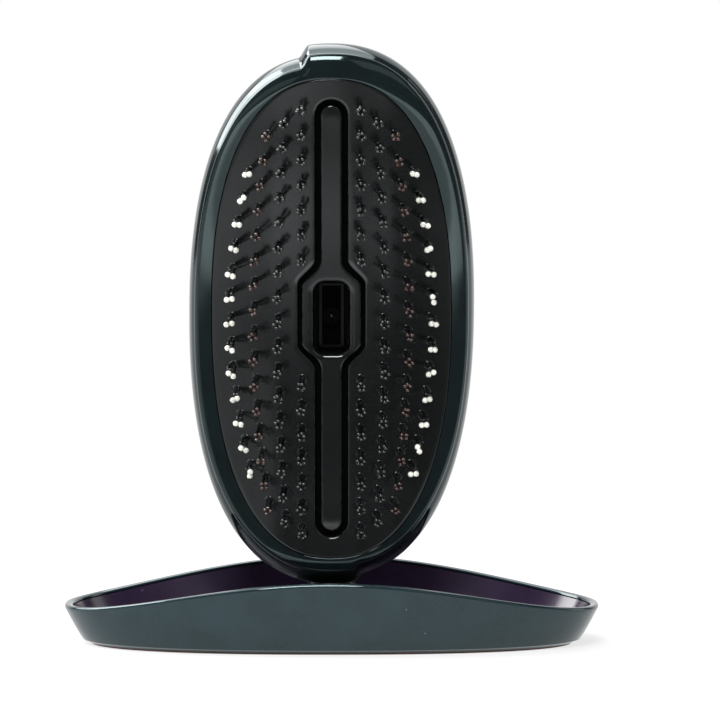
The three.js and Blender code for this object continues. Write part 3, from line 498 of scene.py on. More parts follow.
def face_z(x, y):
    s = sizes()
    crown = CROWN_RADIUS - math.sqrt(CROWN_RADIUS**2 - x * x)
    hollow = max(0, math.cos(math.pi * y / SADDLE_LENGTH)) ** SADDLE_EASE
    curl = END_CURL * (max(0, abs(y) / s.face_half_length - 0.75) / 0.25) ** 2
    return s.face_height - crown + s.saddle * (1 - hollow) + curl


def lobe(angle):
    """Width of the frame at an angle round it: thick after each of its two steps, then thinner."""
    s = sizes()
    turn = (STEP_ANGLE - angle) % math.pi / math.pi
    taper = s.lobe_thick - s.lobe_taper * turn**LOBE_EASE
    width = lerp(taper, s.lobe_thick, smoothstep(turn, 1 - STEP_SPAN / math.pi, 1))
    change = LOBE_SWELL if math.sin(angle) > 0 else LOBE_SHRINK
    return width * (1 + change * math.sin(angle) ** 3)


def flare(angle):
    end = FLARE_TOP if math.sin(angle) > 0 else FLARE_BOTTOM
    return lerp(FLARE_SIDE, end, abs(math.sin(angle)) ** 3)


def brush_point(angle, offset, height):
    """A point offset from the face's outline, at a height above its edge."""
    s = sizes()
    edge = superellipse(s.face_half_width, s.face_half_length, angle)
    out = superellipse(s.face_half_width, s.face_half_length, angle, offset)
    return Vector((out[0], out[1], face_z(*edge) + height))


def round_turn(share):
    """Angle for a share of the way round, with extra points in the frame's two steps."""
    half, rest = divmod(share * 2, 1)
    step_share = 0.16
    span = STEP_SPAN
    if rest < 1 - step_share:
        turn = rest / (1 - step_share) * (math.pi - span)
    else:
        turn = math.pi - span + (rest - 1 + step_share) / step_share * span
    return STEP_ANGLE - half * math.pi - turn


def along(points, share):
    """The point at a share of the way along a list of (offset, height) pairs, one per row."""
    return points[round(share * (len(points) - 1))]


def quarter(start, end, count, bulge_first=True):
    """Points of a quarter ellipse between two (offset, height) pairs, without its start."""
    (x0, z0), (x1, z1) = start, end
    arc = []
    for k in range(1, count + 1):
        turn = k / count * math.pi / 2
        fast, slow = math.sin(turn), 1 - math.cos(turn)
        across, down = (fast, slow) if bulge_first else (slow, fast)
        arc.append((lerp(x0, x1, across), lerp(z0, z1, down)))
    return arc


def frame_profile(angle):
    """Section of the front frame: a rounded inner edge, a top that is flat at the sides and
    crowned at the brush's top end, and a full outer edge."""
    width = lobe(angle)
    crown = smoothstep(math.sin(angle), 0.7, 0.97)
    inner = 0.14 * MM
    drop = min(lerp(1.2, 2.1, crown) * MM, width * 0.45)
    top = (SEAM + inner, 0.0)
    shoulder = (lerp(SEAM, width, lerp(0.68, 0.14, crown)), 0.04 * MM)
    outer = (width, 0.04 * MM - drop)
    profile = [(SEAM, -FRAME_DEPTH), (SEAM, -1.5 * MM), (SEAM, -inner)]
    profile += quarter((SEAM, -inner), top, 3, False)
    profile += [shoulder]
    profile += quarter(shoulder, outer, 12)
    profile += [(width, -2.2 * MM), (width - 0.1 * MM, -FRAME_DEPTH + 0.1 * MM)]
    profile += [(width - 0.5 * MM, -FRAME_DEPTH), (width * 0.6, -FRAME_DEPTH), (SEAM, -FRAME_DEPTH)]
    return profile


def build_front_frame():
    rows = len(frame_profile(0.0)) - 1

    def place(round_share, across):
        angle = round_turn(round_share)
        offset, height = along(frame_profile(angle), across)
        return brush_point(angle, offset, height)

    return stood(wrapped("front_frame_finish", 500, rows, place))


DOME_ROWS = 26


def dome_point(angle, share, inset):
    """A point of the palm shell's back, from its girth at 0 to its pole at 1."""
    s = sizes()
    turn = share * math.pi / 2
    scale = math.cos(turn) ** BACK_FULLNESS if share < 1 else 0
    sink = math.sin(turn) ** BACK_FULLNESS
    middle = s.lobe_thick - s.lobe_taper / 2
    spread = lerp(lobe(angle), middle, sink) + flare(angle) - inset
    girth = brush_point(angle, spread, -GIRTH_DROP)
    return Vector((girth.x * scale, girth.y * scale, lerp(girth.z, -BACK_DEPTH + inset, sink)))


def shell_wall(name):
    """The palm shell before it is cut: outside from its land to the pole, and back up inside."""
    land = -FRAME_DEPTH - GAP

    def edge(angle):
        width, out = lobe(angle), flare(angle)
        rim = [(width - SHELL_WALL, land), (width - 0.5 * MM, land)]
        rim += quarter((width - 0.5 * MM, land), (width, land - 0.45 * MM), 3)
        rim += [(width + 0.34 * out, lerp(land, -GIRTH_DROP, 0.2))]
        rim += [(width + 0.6 * out, lerp(land, -GIRTH_DROP, 0.4))]
        rim += [(width + 0.88 * out, lerp(land, -GIRTH_DROP, 0.7))]
        return rim

    rim_rows = len(edge(0.0))
    rows = rim_rows + 2 * (DOME_ROWS + 1)

    def place(round_share, across):
        angle = round_turn(round_share)
        row = round(across * rows)
        if row < rim_rows:
            return brush_point(angle, *edge(angle)[row])
        row -= rim_rows
        if row <= DOME_ROWS:
            return dome_point(angle, row / DOME_ROWS, 0)
        row -= DOME_ROWS + 1
        if row <= DOME_ROWS:
            return dome_point(angle, 1 - row / DOME_ROWS, SHELL_WALL)
        return brush_point(angle, *edge(angle)[0])

    return wrapped(name, 360, rows, place)


def rounded_block(name, half_width, half_length, corner, middle, low, high):
    """An upright block with rounded corners, as a cutter."""
    deselect()
    bpy.ops.mesh.primitive_plane_add(size=2, location=(0, 0, 0))
    piece = bpy.context.object
    piece.name = name
    piece.data.transform(Matrix.Diagonal((half_width, half_length, 1, 1)))
    bpy.ops.object.mode_set(mode="EDIT")
    bpy.ops.mesh.select_all(action="SELECT")
    bpy.ops.mesh.bevel(offset=corner, segments=8, affect="VERTICES")
    bpy.ops.mesh.select_all(action="SELECT")
    bpy.ops.mesh.extrude_region_move(TRANSFORM_OT_translate={"value": (0, 0, high - low)})
    bpy.ops.mesh.select_all(action="SELECT")
    bpy.ops.mesh.normals_make_consistent(inside=False)
    bpy.ops.object.mode_set(mode="OBJECT")
    piece.data.transform(Matrix.Translation((0, middle, low)))
    return piece


def round_block(name, radius, middle, low, high, segments=64):
    """An upright cylinder, as a cutter."""
    deselect()
    bpy.ops.mesh.primitive_cylinder_add(
        vertices=segments, radius=radius, depth=high - low, location=(0, middle, (low + high) / 2))
    piece = bpy.context.object
    piece.name = name
    piece.data.transform(piece.matrix_world)
    piece.matrix_world = Matrix.Identity(4)
    return piece


def build_back_shell():
    shell = shell_wall("palm_shell")
    low = -BACK_DEPTH - 2 * MM
    boolean(shell, rounded_block("door_cut", DOOR_HALF_WIDTH, DOOR_HALF_LENGTH, DOOR_CORNER,
                                 DOOR_Y, low, -6 * MM))
    boolean(shell, round_block("button_cut", BUTTON_RADIUS + 0.4 * MM, BUTTON_Y, low, -8 * MM))
    boolean(shell, round_block("lens_cut", LENS_RADIUS + GAP, LENS_Y, low, -8 * MM, 32))
    return stood(shell)


def build_battery_door():
    door = shell_wall("door_cover")
    block = rounded_block("door_block", DOOR_HALF_WIDTH - DOOR_GAP, DOOR_HALF_LENGTH - DOOR_GAP,
                          DOOR_CORNER - DOOR_GAP, DOOR_Y, -BACK_DEPTH - 2 * MM, -6 * MM)
    boolean(door, block, "INTERSECT")
    for k in range(5):
        y = DOOR_Y - 22 * MM + k * 1.6 * MM
        skin = back_z(y)
        boolean(door, rounded_block("grip_cut", 5 * MM, 0.35 * MM, 0.3 * MM, y,
                                    skin - 1.5 * MM, skin + 0.4 * MM))
    return stood(door)


def back_z(y):
    """Depth of the palm shell's outside on its centre line."""
    s = sizes()
    reach = s.face_half_length + lobe(math.pi / 2) + FLARE_TOP
    turn = math.acos((abs(y) / reach) ** (1 / BACK_FULLNESS))
    girth = face_z(0, s.face_half_length) - GIRTH_DROP
    return lerp(girth, -BACK_DEPTH, math.sin(turn) ** BACK_FULLNESS)


def turned(name, profile, segments=64):
    """A piece turned about z: a profile of (radius, height) spun by the spin operator."""
    deselect()
    bpy.ops.mesh.primitive_plane_add(size=1)
    piece = bpy.context.object
    piece.name = name
    bpy.ops.object.mode_set(mode="EDIT")
    mesh = bmesh.from_edit_mesh(piece.data)
    bmesh.ops.delete(mesh, geom=mesh.verts[:], context="VERTS")
    spots = [mesh.verts.new((radius, 0, z)) for radius, z in profile]
    for first, second in zip(spots, spots[1:]):
        mesh.edges.new((first, second))
    bmesh.update_edit_mesh(piece.data)
    bpy.ops.mesh.select_all(action="SELECT")
    bpy.ops.mesh.spin(steps=segments, angle=2 * math.pi, center=(0, 0, 0), axis=(0, 0, 1))
    bpy.ops.mesh.select_all(action="SELECT")
    bpy.ops.mesh.remove_doubles(threshold=0.002 * MM)
    bpy.ops.mesh.normals_make_consistent(inside=False)
    bpy.ops.object.mode_set(mode="OBJECT")
    return piece


def build_power_button():
    """A domed cap with a shallow finger dish, a flange behind the shell and a stem."""
    outside = back_z(BUTTON_Y)
    inside = back_z(BUTTON_Y + 8.2 * MM) + 2.6 * MM
    radius = BUTTON_RADIUS
    dish = [(0, outside - 0.25 * MM), (radius * 0.3, outside - 0.3 * MM)]
    dish += [(radius * 0.55, outside - 0.5 * MM), (radius * 0.68, outside - 0.78 * MM)]
    rim = [(radius * 0.76, outside - 0.8 * MM), (radius * 0.88, outside - 0.62 * MM)]
    rim += [(radius * 0.97, outside - 0.15 * MM), (radius, outside + 0.35 * MM)]
    flange = [(radius, inside), (radius + 1.2 * MM, inside), (radius + 1.2 * MM, inside + 1.2 * MM)]
    reach = inside + 2.2 * MM
    stem = [(1.6 * MM, inside + 1.2 * MM), (1.6 * MM, reach), (0, reach)]
    piece = turned("button_cap", dish + rim + flange + stem)
    piece.data.transform(Matrix.Translation((0, BUTTON_Y, 0)))
    return stood(piece, 40)


def build_status_lens():
    outside = back_z(LENS_Y)
    radius = LENS_RADIUS
    profile = [(0, outside + 0.15 * MM), (radius * 0.7, outside + 0.25 * MM)]
    profile += [(radius * 0.93, outside + 0.42 * MM), (radius, outside + 0.75 * MM)]
    profile += [(radius, outside + 4 * MM), (0, outside + 4 * MM)]
    piece = turned("lens_cap", profile, 40)
    piece.data.transform(Matrix.Translation((0, LENS_Y, 0)))
    return stood(piece, 40)


# The face: pad, channel, spine and port


def channel_half_width(y):
    s = sizes()
    past = max(0, abs(y) - (s.channel_half_length - s.channel_half_width))
    swell = 1 - smoothstep(abs(y - BEZEL_MIDDLE), 7.8 * MM, 14.2 * MM)
    straight = math.sqrt(max(0, s.channel_half_width**2 - past**2))
    return straight + (BULGE_HALF_WIDTH - s.channel_half_width) * swell


def channel_point(angle, inset=0.0):
    """A point of the channel's outline, moved inset towards the middle of the channel."""
    def outline(turn):
        y = sizes().channel_half_length * math.sin(turn)
        return Vector((math.copysign(channel_half_width(y), math.cos(turn)), y))

    way = (outline(angle + 0.002) - outline(angle - 0.002)).normalized()
    return outline(angle) - Vector((way.y, -way.x)) * inset


def groove_width(angle):
    """The groove round the spine is narrower beside the window."""
    y = sizes().channel_half_length * abs(math.sin(angle))
    return lerp(1.0 * MM, 1.45 * MM, smoothstep(y, 8 * MM, 14 * MM))


def window_point(angle, grow=0.0):
    """The window's outline, a rectangle with round corners. Its sides face the bezel and its ends
    the rest of the channel, so that lines from it to the channel's outline never cross that."""
    corner = WINDOW_CORNER + grow
    side = WINDOW_WIDTH / 2 - WINDOW_CORNER
    end = WINDOW_LENGTH / 2 - WINDOW_CORNER
    turn = math.asin(min(1, abs(math.sin(angle))))
    side_turn, corner_turn = math.radians(6), math.radians(12.5)
    if turn < side_turn:
        x, y = side + corner, end * turn / side_turn
    elif turn < corner_turn:
        arc = (turn - side_turn) / (corner_turn - side_turn) * math.pi / 2
        x, y = side + corner * math.cos(arc), end + corner * math.sin(arc)
    else:
        past = (turn - corner_turn) / (math.pi / 2 - corner_turn)
        x, y = side * (1 - past), end + corner
    return math.copysign(x, math.cos(angle)), math.copysign(y, math.sin(angle))


FACE_COLUMNS = 720


def build_face_pad():
    """The crowned pad between the channel's rounded lip and the frame."""
    lip = 0.55 * MM
    edge = 0.14 * MM
    depth = -2.2 * MM
    rise = [(0.0, depth), (0.0, -1.5 * MM), (0.0, -lip)] + quarter((0, -lip), (lip, 0), 6, False)
    fall = quarter((edge, 0), (0, -edge), 3) + [(0.0, -1.2 * MM)]
    between = 22
    rows = len(rise) + between + len(fall) + 1

    def place(round_share, across):
        angle = round_share * 2 * math.pi
        s = sizes()
        inner = channel_point(angle)
        outer = Vector(superellipse(s.face_half_width, s.face_half_length, angle, -SEAM))
        span = (outer - inner).length
        row = round(across * rows)
        if row < len(rise):
            share, height = rise[row][0] / span, rise[row][1]
        elif row <= len(rise) + between:
            step = (row - len(rise)) / between
            share, height = lerp(lip, span - edge, step) / span, 0
        elif row < rows:
            inset, height = fall[row - len(rise) - between - 1]
            share = (span - inset) / span
        else:
            share, height = 0, depth
        spot = inner.lerp(outer, share)
        return Vector((spot.x, spot.y, face_z(spot.x, spot.y) + height))

    return stood(wrapped("bristle_face", FACE_COLUMNS, rows, place), 40)


def build_spine():
    """The spine in the channel: rounded along its edge, with a lipped bezel round the window."""
    drop = 0.4 * MM
    foot = -2.4 * MM
    round_over = 0.55 * MM

    def window_rim(angle):
        """Section of the window's rim: a stepped lip that turns into one round sill at its foot."""
        sill = smoothstep(-math.sin(angle), 0.08, 0.2)
        step = lerp(0.2 * MM, 0.02 * MM, sill)
        deep = lerp(0.9 * MM, 1.7 * MM, sill)
        rim = [(0.0, foot - 2 * MM), (0.0, -2.0 * MM), (0.0, -deep)]
        rim += quarter((0, -deep), (lerp(0.8 * MM, 1.15 * MM, sill), -step), 8, False)
        rim += [(1.2 * MM, -step), (1.25 * MM, -0.8 * step), (1.35 * MM, -0.2 * step)]
        return rim + [(1.45 * MM, 0.0), (1.55 * MM, 0.0)]

    lip_rows = len(window_rim(0.0))
    edge = quarter((round_over, 0), (0, -round_over), 6) + [(0.0, -1.6 * MM), (0.0, foot)]
    between = 16
    rows = lip_rows + between + len(edge) + 1

    def place(round_share, across):
        angle = round_share * 2 * math.pi
        row = round(across * rows)
        if row < lip_rows:
            grow, height = window_rim(angle)[row]
            spot = Vector(window_point(angle, grow))
        elif row <= lip_rows + between:
            step = (row - lip_rows) / between
            first = Vector(window_point(angle, 1.65 * MM))
            spot = first.lerp(channel_point(angle, groove_width(angle) + round_over), step)
            height = 0
        elif row < rows:
            back, height = edge[row - lip_rows - between - 1]
            spot = channel_point(angle, groove_width(angle) + back)
        else:
            spot = Vector(window_point(angle))
            height = foot - 2 * MM
        return Vector((spot.x, spot.y, face_z(0, spot.y) - drop + height))

    return stood(wrapped("channel_spine", FACE_COLUMNS, rows, place), 40)


# Bristles

COLUMNS = (
    {"middle": 7.7, "draw": 0, "lower": 0, "rows": 18, "clear": 14, "kind": "black"},
    {"middle": 13.9, "draw": 1.8, "lower": 0.5, "rows": 17, "clear": 0, "kind": "black"},
    {"middle": 20.1, "draw": 3.5, "lower": 1, "rows": 16, "clear": 0, "kind": "amber"},
    {"middle": 26.3, "draw": 4.9, "lower": 2.5, "rows": 13, "clear": 0, "kind": "white"},
)
TUFTS = {
    "black": {"balls": 5, "ball": 0.54 * MM, "spread": 0.86 * MM, "short": 0},
    "amber": {"balls": 4, "ball": 0.54 * MM, "spread": 0.78 * MM, "short": 0},
    "white": {"balls": 2, "ball": 0.78 * MM, "spread": 0.62 * MM, "short": 4},
}
STALK = 0.24 * MM
ROOT_SPREAD = 0.5 * MM
FAN_OUT = 0.015
FAN_ALONG = 0.016
DROOP = 0.6 * MM


def tuft_middles(kind):
    for column in (c for c in COLUMNS if c["kind"] == kind):
        first = FIRST_ROW - column["lower"] * ROW_PITCH
        for row in range(column["rows"]):
            y = first - row * ROW_PITCH
            if abs(y) <= column["clear"] * MM:
                continue
            x = (column["middle"] - column["draw"] * (y / first) ** 2) * MM
            yield x, y
            yield -x, y


def lean_of(x, y):
    """How far the tips of a tuft stand out past its root."""
    return Vector((x * FAN_OUT, y * FAN_ALONG - DROOP, 0))


def build_bristles(kind):
    """All tufts of one colour. Stalks take the first material and ball tips the second."""
    style = TUFTS[kind]
    chance = random.Random(len(kind) * 7 + 3)
    mesh = bmesh.new()
    for x, y in tuft_middles(kind):
        middle, lean = Vector((x, y, 0)), lean_of(x, y)
        start = chance.gauss(0, 0.6) if style["balls"] == 2 else chance.uniform(0, 2 * math.pi)
        for k in range(style["balls"]):
            turn = start + 2 * math.pi * k / style["balls"] + chance.uniform(-0.3, 0.3)
            ray = Vector((math.cos(turn), math.sin(turn), 0))
            drift = Vector((chance.gauss(0, 0.1), chance.gauss(0, 0.1), 0)) * MM
            tip = middle + ray * style["spread"] + drift
            tip.z = TIP_PLANE - style["ball"] - chance.uniform(0, 0.8 * MM)
            add_strand(mesh, middle - lean + ray * ROOT_SPREAD, tip, style["ball"], 1)
        for k in range(style["short"]):
            ray = Vector((chance.uniform(-1, 1), chance.uniform(0.3, 1.5), 0))
            tip = middle + ray * MM
            tip.z = TIP_PLANE - chance.uniform(2.5, 4.5) * MM
            add_strand(mesh, middle - lean + ray * ROOT_SPREAD, tip, 0.36 * MM, 0)
    return stood_mesh("bristles_" + kind, mesh, 60)


def add_strand(mesh, root, tip, ball, tip_slot):
    """A stalk from the pad to tip, with a ball on its end that takes the material of a slot."""
    root.z = face_z(root.x, root.y) - 0.4 * MM
    way = tip - root
    turn = Vector((0, 0, 1)).rotation_difference(way).to_matrix().to_4x4()
    bmesh.ops.create_cone(mesh, cap_ends=True, segments=6, radius1=STALK * 1.15, radius2=STALK,
                          depth=way.length, matrix=Matrix.Translation(root.lerp(tip, 0.5)) @ turn)
    made = bmesh.ops.create_uvsphere(mesh, u_segments=8, v_segments=6, radius=ball,
                                     matrix=Matrix.Translation(tip) @ turn)
    for face in {face for vertex in made["verts"] for face in vertex.link_faces}:
        face.material_index = tip_slot


def build_sockets():
    """A low collar in the pad round the foot of each tuft."""
    mesh = bmesh.new()
    radius = 1.35 * MM
    profile = ((1.0, -0.25), (1.0, 0.02), (0.9, 0.16), (0.72, 0.2), (0.5, 0.12), (0.4, -0.1))
    sides = 14
    for kind in TUFTS:
        for x, y in tuft_middles(kind):
            middle = Vector((x, y, 0)) - lean_of(x, y)
            rings = []
            for share, height in profile:
                ring = []
                for k in range(sides):
                    turn = 2 * math.pi * k / sides
                    px = middle.x + radius * share * math.cos(turn)
                    py = middle.y + radius * share * math.sin(turn)
                    ring.append(mesh.verts.new((px, py, face_z(px, py) + height * MM)))
                rings.append(ring)
            for low, high in zip(rings, rings[1:]):
                for k in range(sides):
                    n = (k + 1) % sides
                    mesh.faces.new((low[k], low[n], high[n], high[k]))
            mesh.faces.new(rings[-1])
            mesh.faces.new(reversed(rings[0]))
    return stood_mesh("tuft_sockets", mesh, 50)


# The cover


BASE_LIFT = 0.5 * MM
BASE_EDGE = 1 * MM
RECESS = 1.1 * MM
FLOOR_INSET = 4.4 * MM
FOOT_INSET = 1.55 * MM
COVER_WALL = 1.2 * MM
LINER_WALL = 0.9 * MM
LIP_INSET = 2.4 * MM
LIP_INNER = 0.3 * MM


def cover_point(angle, inset, height):
    """A point of the cover: its outline grows with the height, which is a function of the height
    of the rim at that angle."""
    s = sizes()
    base = superellipse(s.rim_half_length - s.base_inset, s.rim_half_width - s.base_inset * 0.95,
                        angle, -inset)
    rim = superellipse(s.rim_half_length, s.rim_half_width, angle, -inset)
    across = abs(superellipse(s.rim_half_length, s.rim_half_width, angle)[0])
    wave = max(0, math.cos(math.pi * across / (2 * s.rim_half_length))) ** SADDLE_EASE
    rim_height = s.rim_end_height + s.rim_rise * wave
    z = height(rim_height)
    share = min(1, max(0, (z - BASE_LIFT) / (rim_height - BASE_LIFT))) ** 0.85
    return Vector((lerp(base[0], rim[0], share), lerp(base[1], rim[1], share), z))


def level(z):
    """A height that is the same all round."""
    return lambda rim: z


def below_rim(low, drop, share):
    """A height between a level one and one that follows the rim a little below it."""
    return lambda rim: lerp(low, rim - drop, share)


def cover_profile():
    """Section of the cover from the middle of its underside round the lip to the inner floor."""
    floor = BASE_LIFT + 2.9 * MM
    low = BASE_LIFT + 0.8 * BASE_EDGE
    recess = FOOT_INSET - 0.15 * MM
    profile = [(recess + 3 * MM, level(BASE_LIFT + RECESS)), (recess, level(BASE_LIFT + RECESS))]
    profile += [(recess, level(BASE_LIFT)), (BASE_EDGE, level(BASE_LIFT))]
    for out, up in quarter((BASE_EDGE, 0.0), (0.0, 0.8 * BASE_EDGE), 6, False):
        profile.append((out, level(BASE_LIFT + up)))
    lip = 1.2 * MM
    profile += [(0.0, below_rim(low, lip, step / 12)) for step in range(1, 13)]
    for k in range(1, 15):
        turn = math.pi * k / 14
        out = LIP_INSET / 2 * (1 - math.cos(turn))
        drop = lip if k <= 7 else LIP_INNER
        profile.append((out, below_rim(0, drop * (1 - math.sin(turn)), 1)))
    under = LIP_INNER + 0.35 * MM
    profile += [(LIP_INSET, below_rim(0, under, 1)), (COVER_WALL, below_rim(0, under, 1))]
    profile += [(COVER_WALL, below_rim(floor + MM, under, share)) for share in (0.66, 0.33, 0.0)]
    profile += [(COVER_WALL + 0.5 * MM, level(floor + 0.3 * MM))]
    profile += [(FLOOR_INSET, level(floor)), (FLOOR_INSET + 2 * MM, level(floor))]
    return profile


def liner_profile():
    """Section of the liner: its smooth inside, its top under the lip, and its back."""
    floor = BASE_LIFT + 4.1 * MM
    outside = COVER_WALL + GAP
    inside = outside + LINER_WALL
    top = LIP_INNER + 0.35 * MM + GAP
    corner = 3 * MM
    profile = [(inside + 1.6 * corner, level(floor)), (inside + 1.3 * corner, level(floor))]
    for out, up in quarter((inside + corner, 0.0), (inside, 0.8 * corner), 8):
        profile.append((out, level(floor + up)))
    low = floor + 0.8 * corner
    profile += [(inside, below_rim(low, top, step / 6)) for step in range(1, 7)]
    profile += [(outside, below_rim(0, top, 1)), (outside, below_rim(low, top, 0.5))]
    profile += [(outside, level(low)), (outside + 0.5 * corner, level(floor - 0.6 * LINER_WALL))]
    profile += [(FLOOR_INSET + corner, level(floor - LINER_WALL))]
    return profile


def cover_piece(name, profile, columns=320):
    """A closed boat-shaped piece from its section, capped across its middle."""
    rows = len(profile) + 1

    def place(round_share, across):
        angle = round_share * 2 * math.pi
        row = round(across * rows)
        spot = cover_point(angle, *profile[min(max(row - 1, 0), len(profile) - 1)])
        if row in (0, rows):
            return Vector((0, 0, spot.z))
        return spot

    return wrapped(name, columns, rows, place)


def build_cover_shell():
    piece = cover_piece("cover_body", cover_profile())
    smooth(piece, 40)
    return piece


def build_cover_liner():
    s = sizes()
    piece = cover_piece("cover_lining", liner_profile())
    deselect()
    for side in (-1, 1):
        lug = rounded_block("snap_lug", 1.1 * MM, 2.5 * MM, 0.5 * MM, 0.0, 0.0, 1.2 * MM)
        reach = s.rim_half_length - 2.4 * MM - 1.8 * MM
        lug.data.transform(Matrix.Translation((side * reach, 0, s.rim_end_height - 3.6 * MM)))
        boolean(piece, lug, "UNION")
    smooth(piece, 40)
    return piece


def build_foot_pad():
    """A thin sheet of brown rubber let into the base, with its lower edge rounded over."""
    edge = 0.35 * MM
    section = [(FOOT_INSET + 6 * edge, level(0.0)), (FOOT_INSET + edge, level(0.0))]
    round_over = quarter((FOOT_INSET + edge, 0.0), (FOOT_INSET, edge), 4)
    section += [(out, level(up)) for out, up in round_over]
    section += [(FOOT_INSET, level(BASE_LIFT + RECESS - 0.1 * MM))]
    piece = cover_piece("foot_rubber", section, 200)
    smooth(piece, 40)
    return piece


def brush_block(name, grow):
    """The outside of the brush as one solid, grown by a clearance, as a cutter."""
    land = -FRAME_DEPTH - GAP

    def edge(angle):
        width, out = lobe(angle) + grow, flare(angle)
        return [(width - 1.5 * MM, MM), (width, -MM), (width, land),
                (width + 0.6 * out, lerp(land, -GIRTH_DROP, 0.4))]

    rows = len(edge(0.0)) + 1 + DOME_ROWS

    def place(round_share, across):
        angle = round_turn(round_share)
        row = round(across * rows)
        if row == 0:
            return Vector((0, 0, face_z(0, 0) + 2 * MM))
        if row <= len(edge(angle)):
            return brush_point(angle, *edge(angle)[row - 1])
        return dome_point(angle, (row - len(edge(angle)) - 1) / DOME_ROWS, -grow)

    return wrapped(name, 240, rows, place)


def build_cradle():
    """The soft cradle that holds the brush upright, hollowed to the brush's own shape."""
    low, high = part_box("stand_cradle")
    front_top, back_top = 14.2 * MM, 18.6 * MM
    shoulder_drop = 5 * MM  # at the back, on either side of a narrow middle
    taper = [(1.5 * MM * k / 8, k / 8) for k in range(1, 9)]
    crown = quarter((1.5 * MM, 0.0), (3 * MM, 1.5 * MM), 6, False)
    rows = 2 + len(taper) + len(crown) + 2

    def place(round_share, across):
        angle = round_share * 2 * math.pi
        row = round(across * rows)
        if row == 0:
            return Vector((0, 0, low.z))
        if row == rows:
            return Vector((0, 0, lerp(front_top, back_top, 0.5)))
        if row < 3:
            inset, rise = ((0.4 * MM, 0.0), (0.0, 0.4 * MM))[row - 1]
            return Vector((*superellipse(high.x, high.y, angle, -inset), low.z + rise))
        row -= 3
        inset, lift = taper[row] if row < len(taper) else (crown[min(row - len(taper), 5)][0], 1)
        x, y = superellipse(high.x, high.y, angle, -inset)
        back = smoothstep(y, 4 * MM, high.y)
        top = lerp(front_top, back_top, back)
        top -= shoulder_drop * back * smoothstep(abs(x), 1.5 * MM, 7 * MM)
        if row < len(taper):
            return Vector((x, y, lerp(low.z + 0.4 * MM, top - 1.5 * MM, lift)))
        return Vector((x, y, top - 1.5 * MM + crown[min(row - len(taper), 5)][1]))

    piece = wrapped("cradle_rubber", 120, rows, place)
    pocket = brush_block("pocket_cut", 2 * GAP)
    stand_up(pocket)
    boolean(piece, pocket)
    smooth(piece, 40)
    return piece


def build_seal():
    """The seal ring between the bed and the ledge of the palm shell, with rounded corners."""
    inset, width = GAP, 1.0 * MM
    low, high, corner = -5.9 * MM, -5.1 * MM, 0.2 * MM
    front, back = -inset, -inset - width
    section = []
    for start, end, bulge_first in (
        ((front - corner, high), (front, high - corner), True),
        ((front, low + corner), (front - corner, low), False),
        ((back + corner, low), (back, low + corner), True),
        ((back, high - corner), (back + corner, high), False),
    ):
        section += [start, *quarter(start, end, 3, bulge_first)]
    section.append(section[0])

    def place(round_share, across):
        return brush_point(round_turn(round_share), *along(section, across))

    return stood(wrapped("seal_rubber", 240, len(section) - 1, place), 50)


# Operators: one for each piece, or group of like pieces, and one for the stage


class BuildFrameOperator(bpy.types.Operator):
    """Builds the glossy swirl of a frame round the bristle face."""

    bl_idname = "scalp_brush.front_frame"
    bl_label = "Front frame"

    def execute(self, context):
        finish = gloss_plastic("green-black gloss, frame", colours().shell, tint=SHEEN)
        settle(build_front_frame(), finish, "brush", "shell", "front_frame")
        return {"FINISHED"}


class BuildShellOperator(bpy.types.Operator):
    """Builds the palm shell, with its openings for the door, button and lens."""

    bl_idname = "scalp_brush.palm_shell"
    bl_label = "Palm shell"

    def execute(self, context):
        finish = gloss_plastic("green-black gloss, back", colours().shell, tint=SHEEN)
        settle(build_back_shell(), finish, "brush", "shell", "back_shell")
        settle(build_battery_door(), finish, "door", "shell", "battery_door")
        return {"FINISHED"}


class BuildControlsOperator(bpy.types.Operator):
    """Builds the power button and the status lens."""

    bl_idname = "scalp_brush.controls"
    bl_label = "Button and lens"

    def execute(self, context):
        rubber = soft_plastic("button rubber", colours().rubber)
        settle(build_power_button(), rubber, "button", "button", "power_button")
        lens = tip_resin("clear lens", (0.6, 0.66, 0.64), 0.8)
        settle(build_status_lens(), lens, "brush", "lens", "status_lens")
        return {"FINISHED"}


class BuildFaceOperator(bpy.types.Operator):
    """Builds the bristle face, the spine in its channel and the collars of the tufts."""

    bl_idname = "scalp_brush.face"
    bl_label = "Bristle face"

    def execute(self, context):
        finish = gloss_plastic("pad gloss", colours().pad, 0.12, tint=(0.93, 0.98, 1.0))
        settle(build_face_pad(), finish, "brush", "pad")
        settle(build_spine(), finish, "brush", "pad", "center_spine")
        settle(build_sockets(), finish, "brush", "pad")
        seal = soft_plastic("seal rubber", colours().rubber)
        settle(build_seal(), seal, "brush", "soft", "seal_ring")
        return {"FINISHED"}


class BuildBristlesOperator(bpy.types.Operator):
    """Builds the black, amber and white tufts."""

    bl_idname = "scalp_brush.bristles"
    bl_label = "Bristles"

    def execute(self, context):
        stalk = tip_resin("stalk resin", (0.008, 0.008, 0.009), 0.0, 0.2)
        tips = {
            "black": tip_resin("black tips", (0.003, 0.003, 0.0035), 0.0, 0.03, 1.85),
            "amber": tip_resin("amber tips", colours().amber, 0.3, 0.03, 1.75),
            "white": tip_resin("white tips", colours().pearl, 0.0, 0.2),
        }
        nodes = {
            "black": ("pad", "bristle_pad_center"),
            "amber": ("amber", "bristle_strip_left", "bristle_strip_right"),
            "white": ("amber",),
        }
        for kind, tip in tips.items():
            piece = build_bristles(kind)
            piece.data.materials.append(stalk)
            piece.data.materials.append(tip)
            settle(piece, tip, "brush", *nodes[kind])
        return {"FINISHED"}


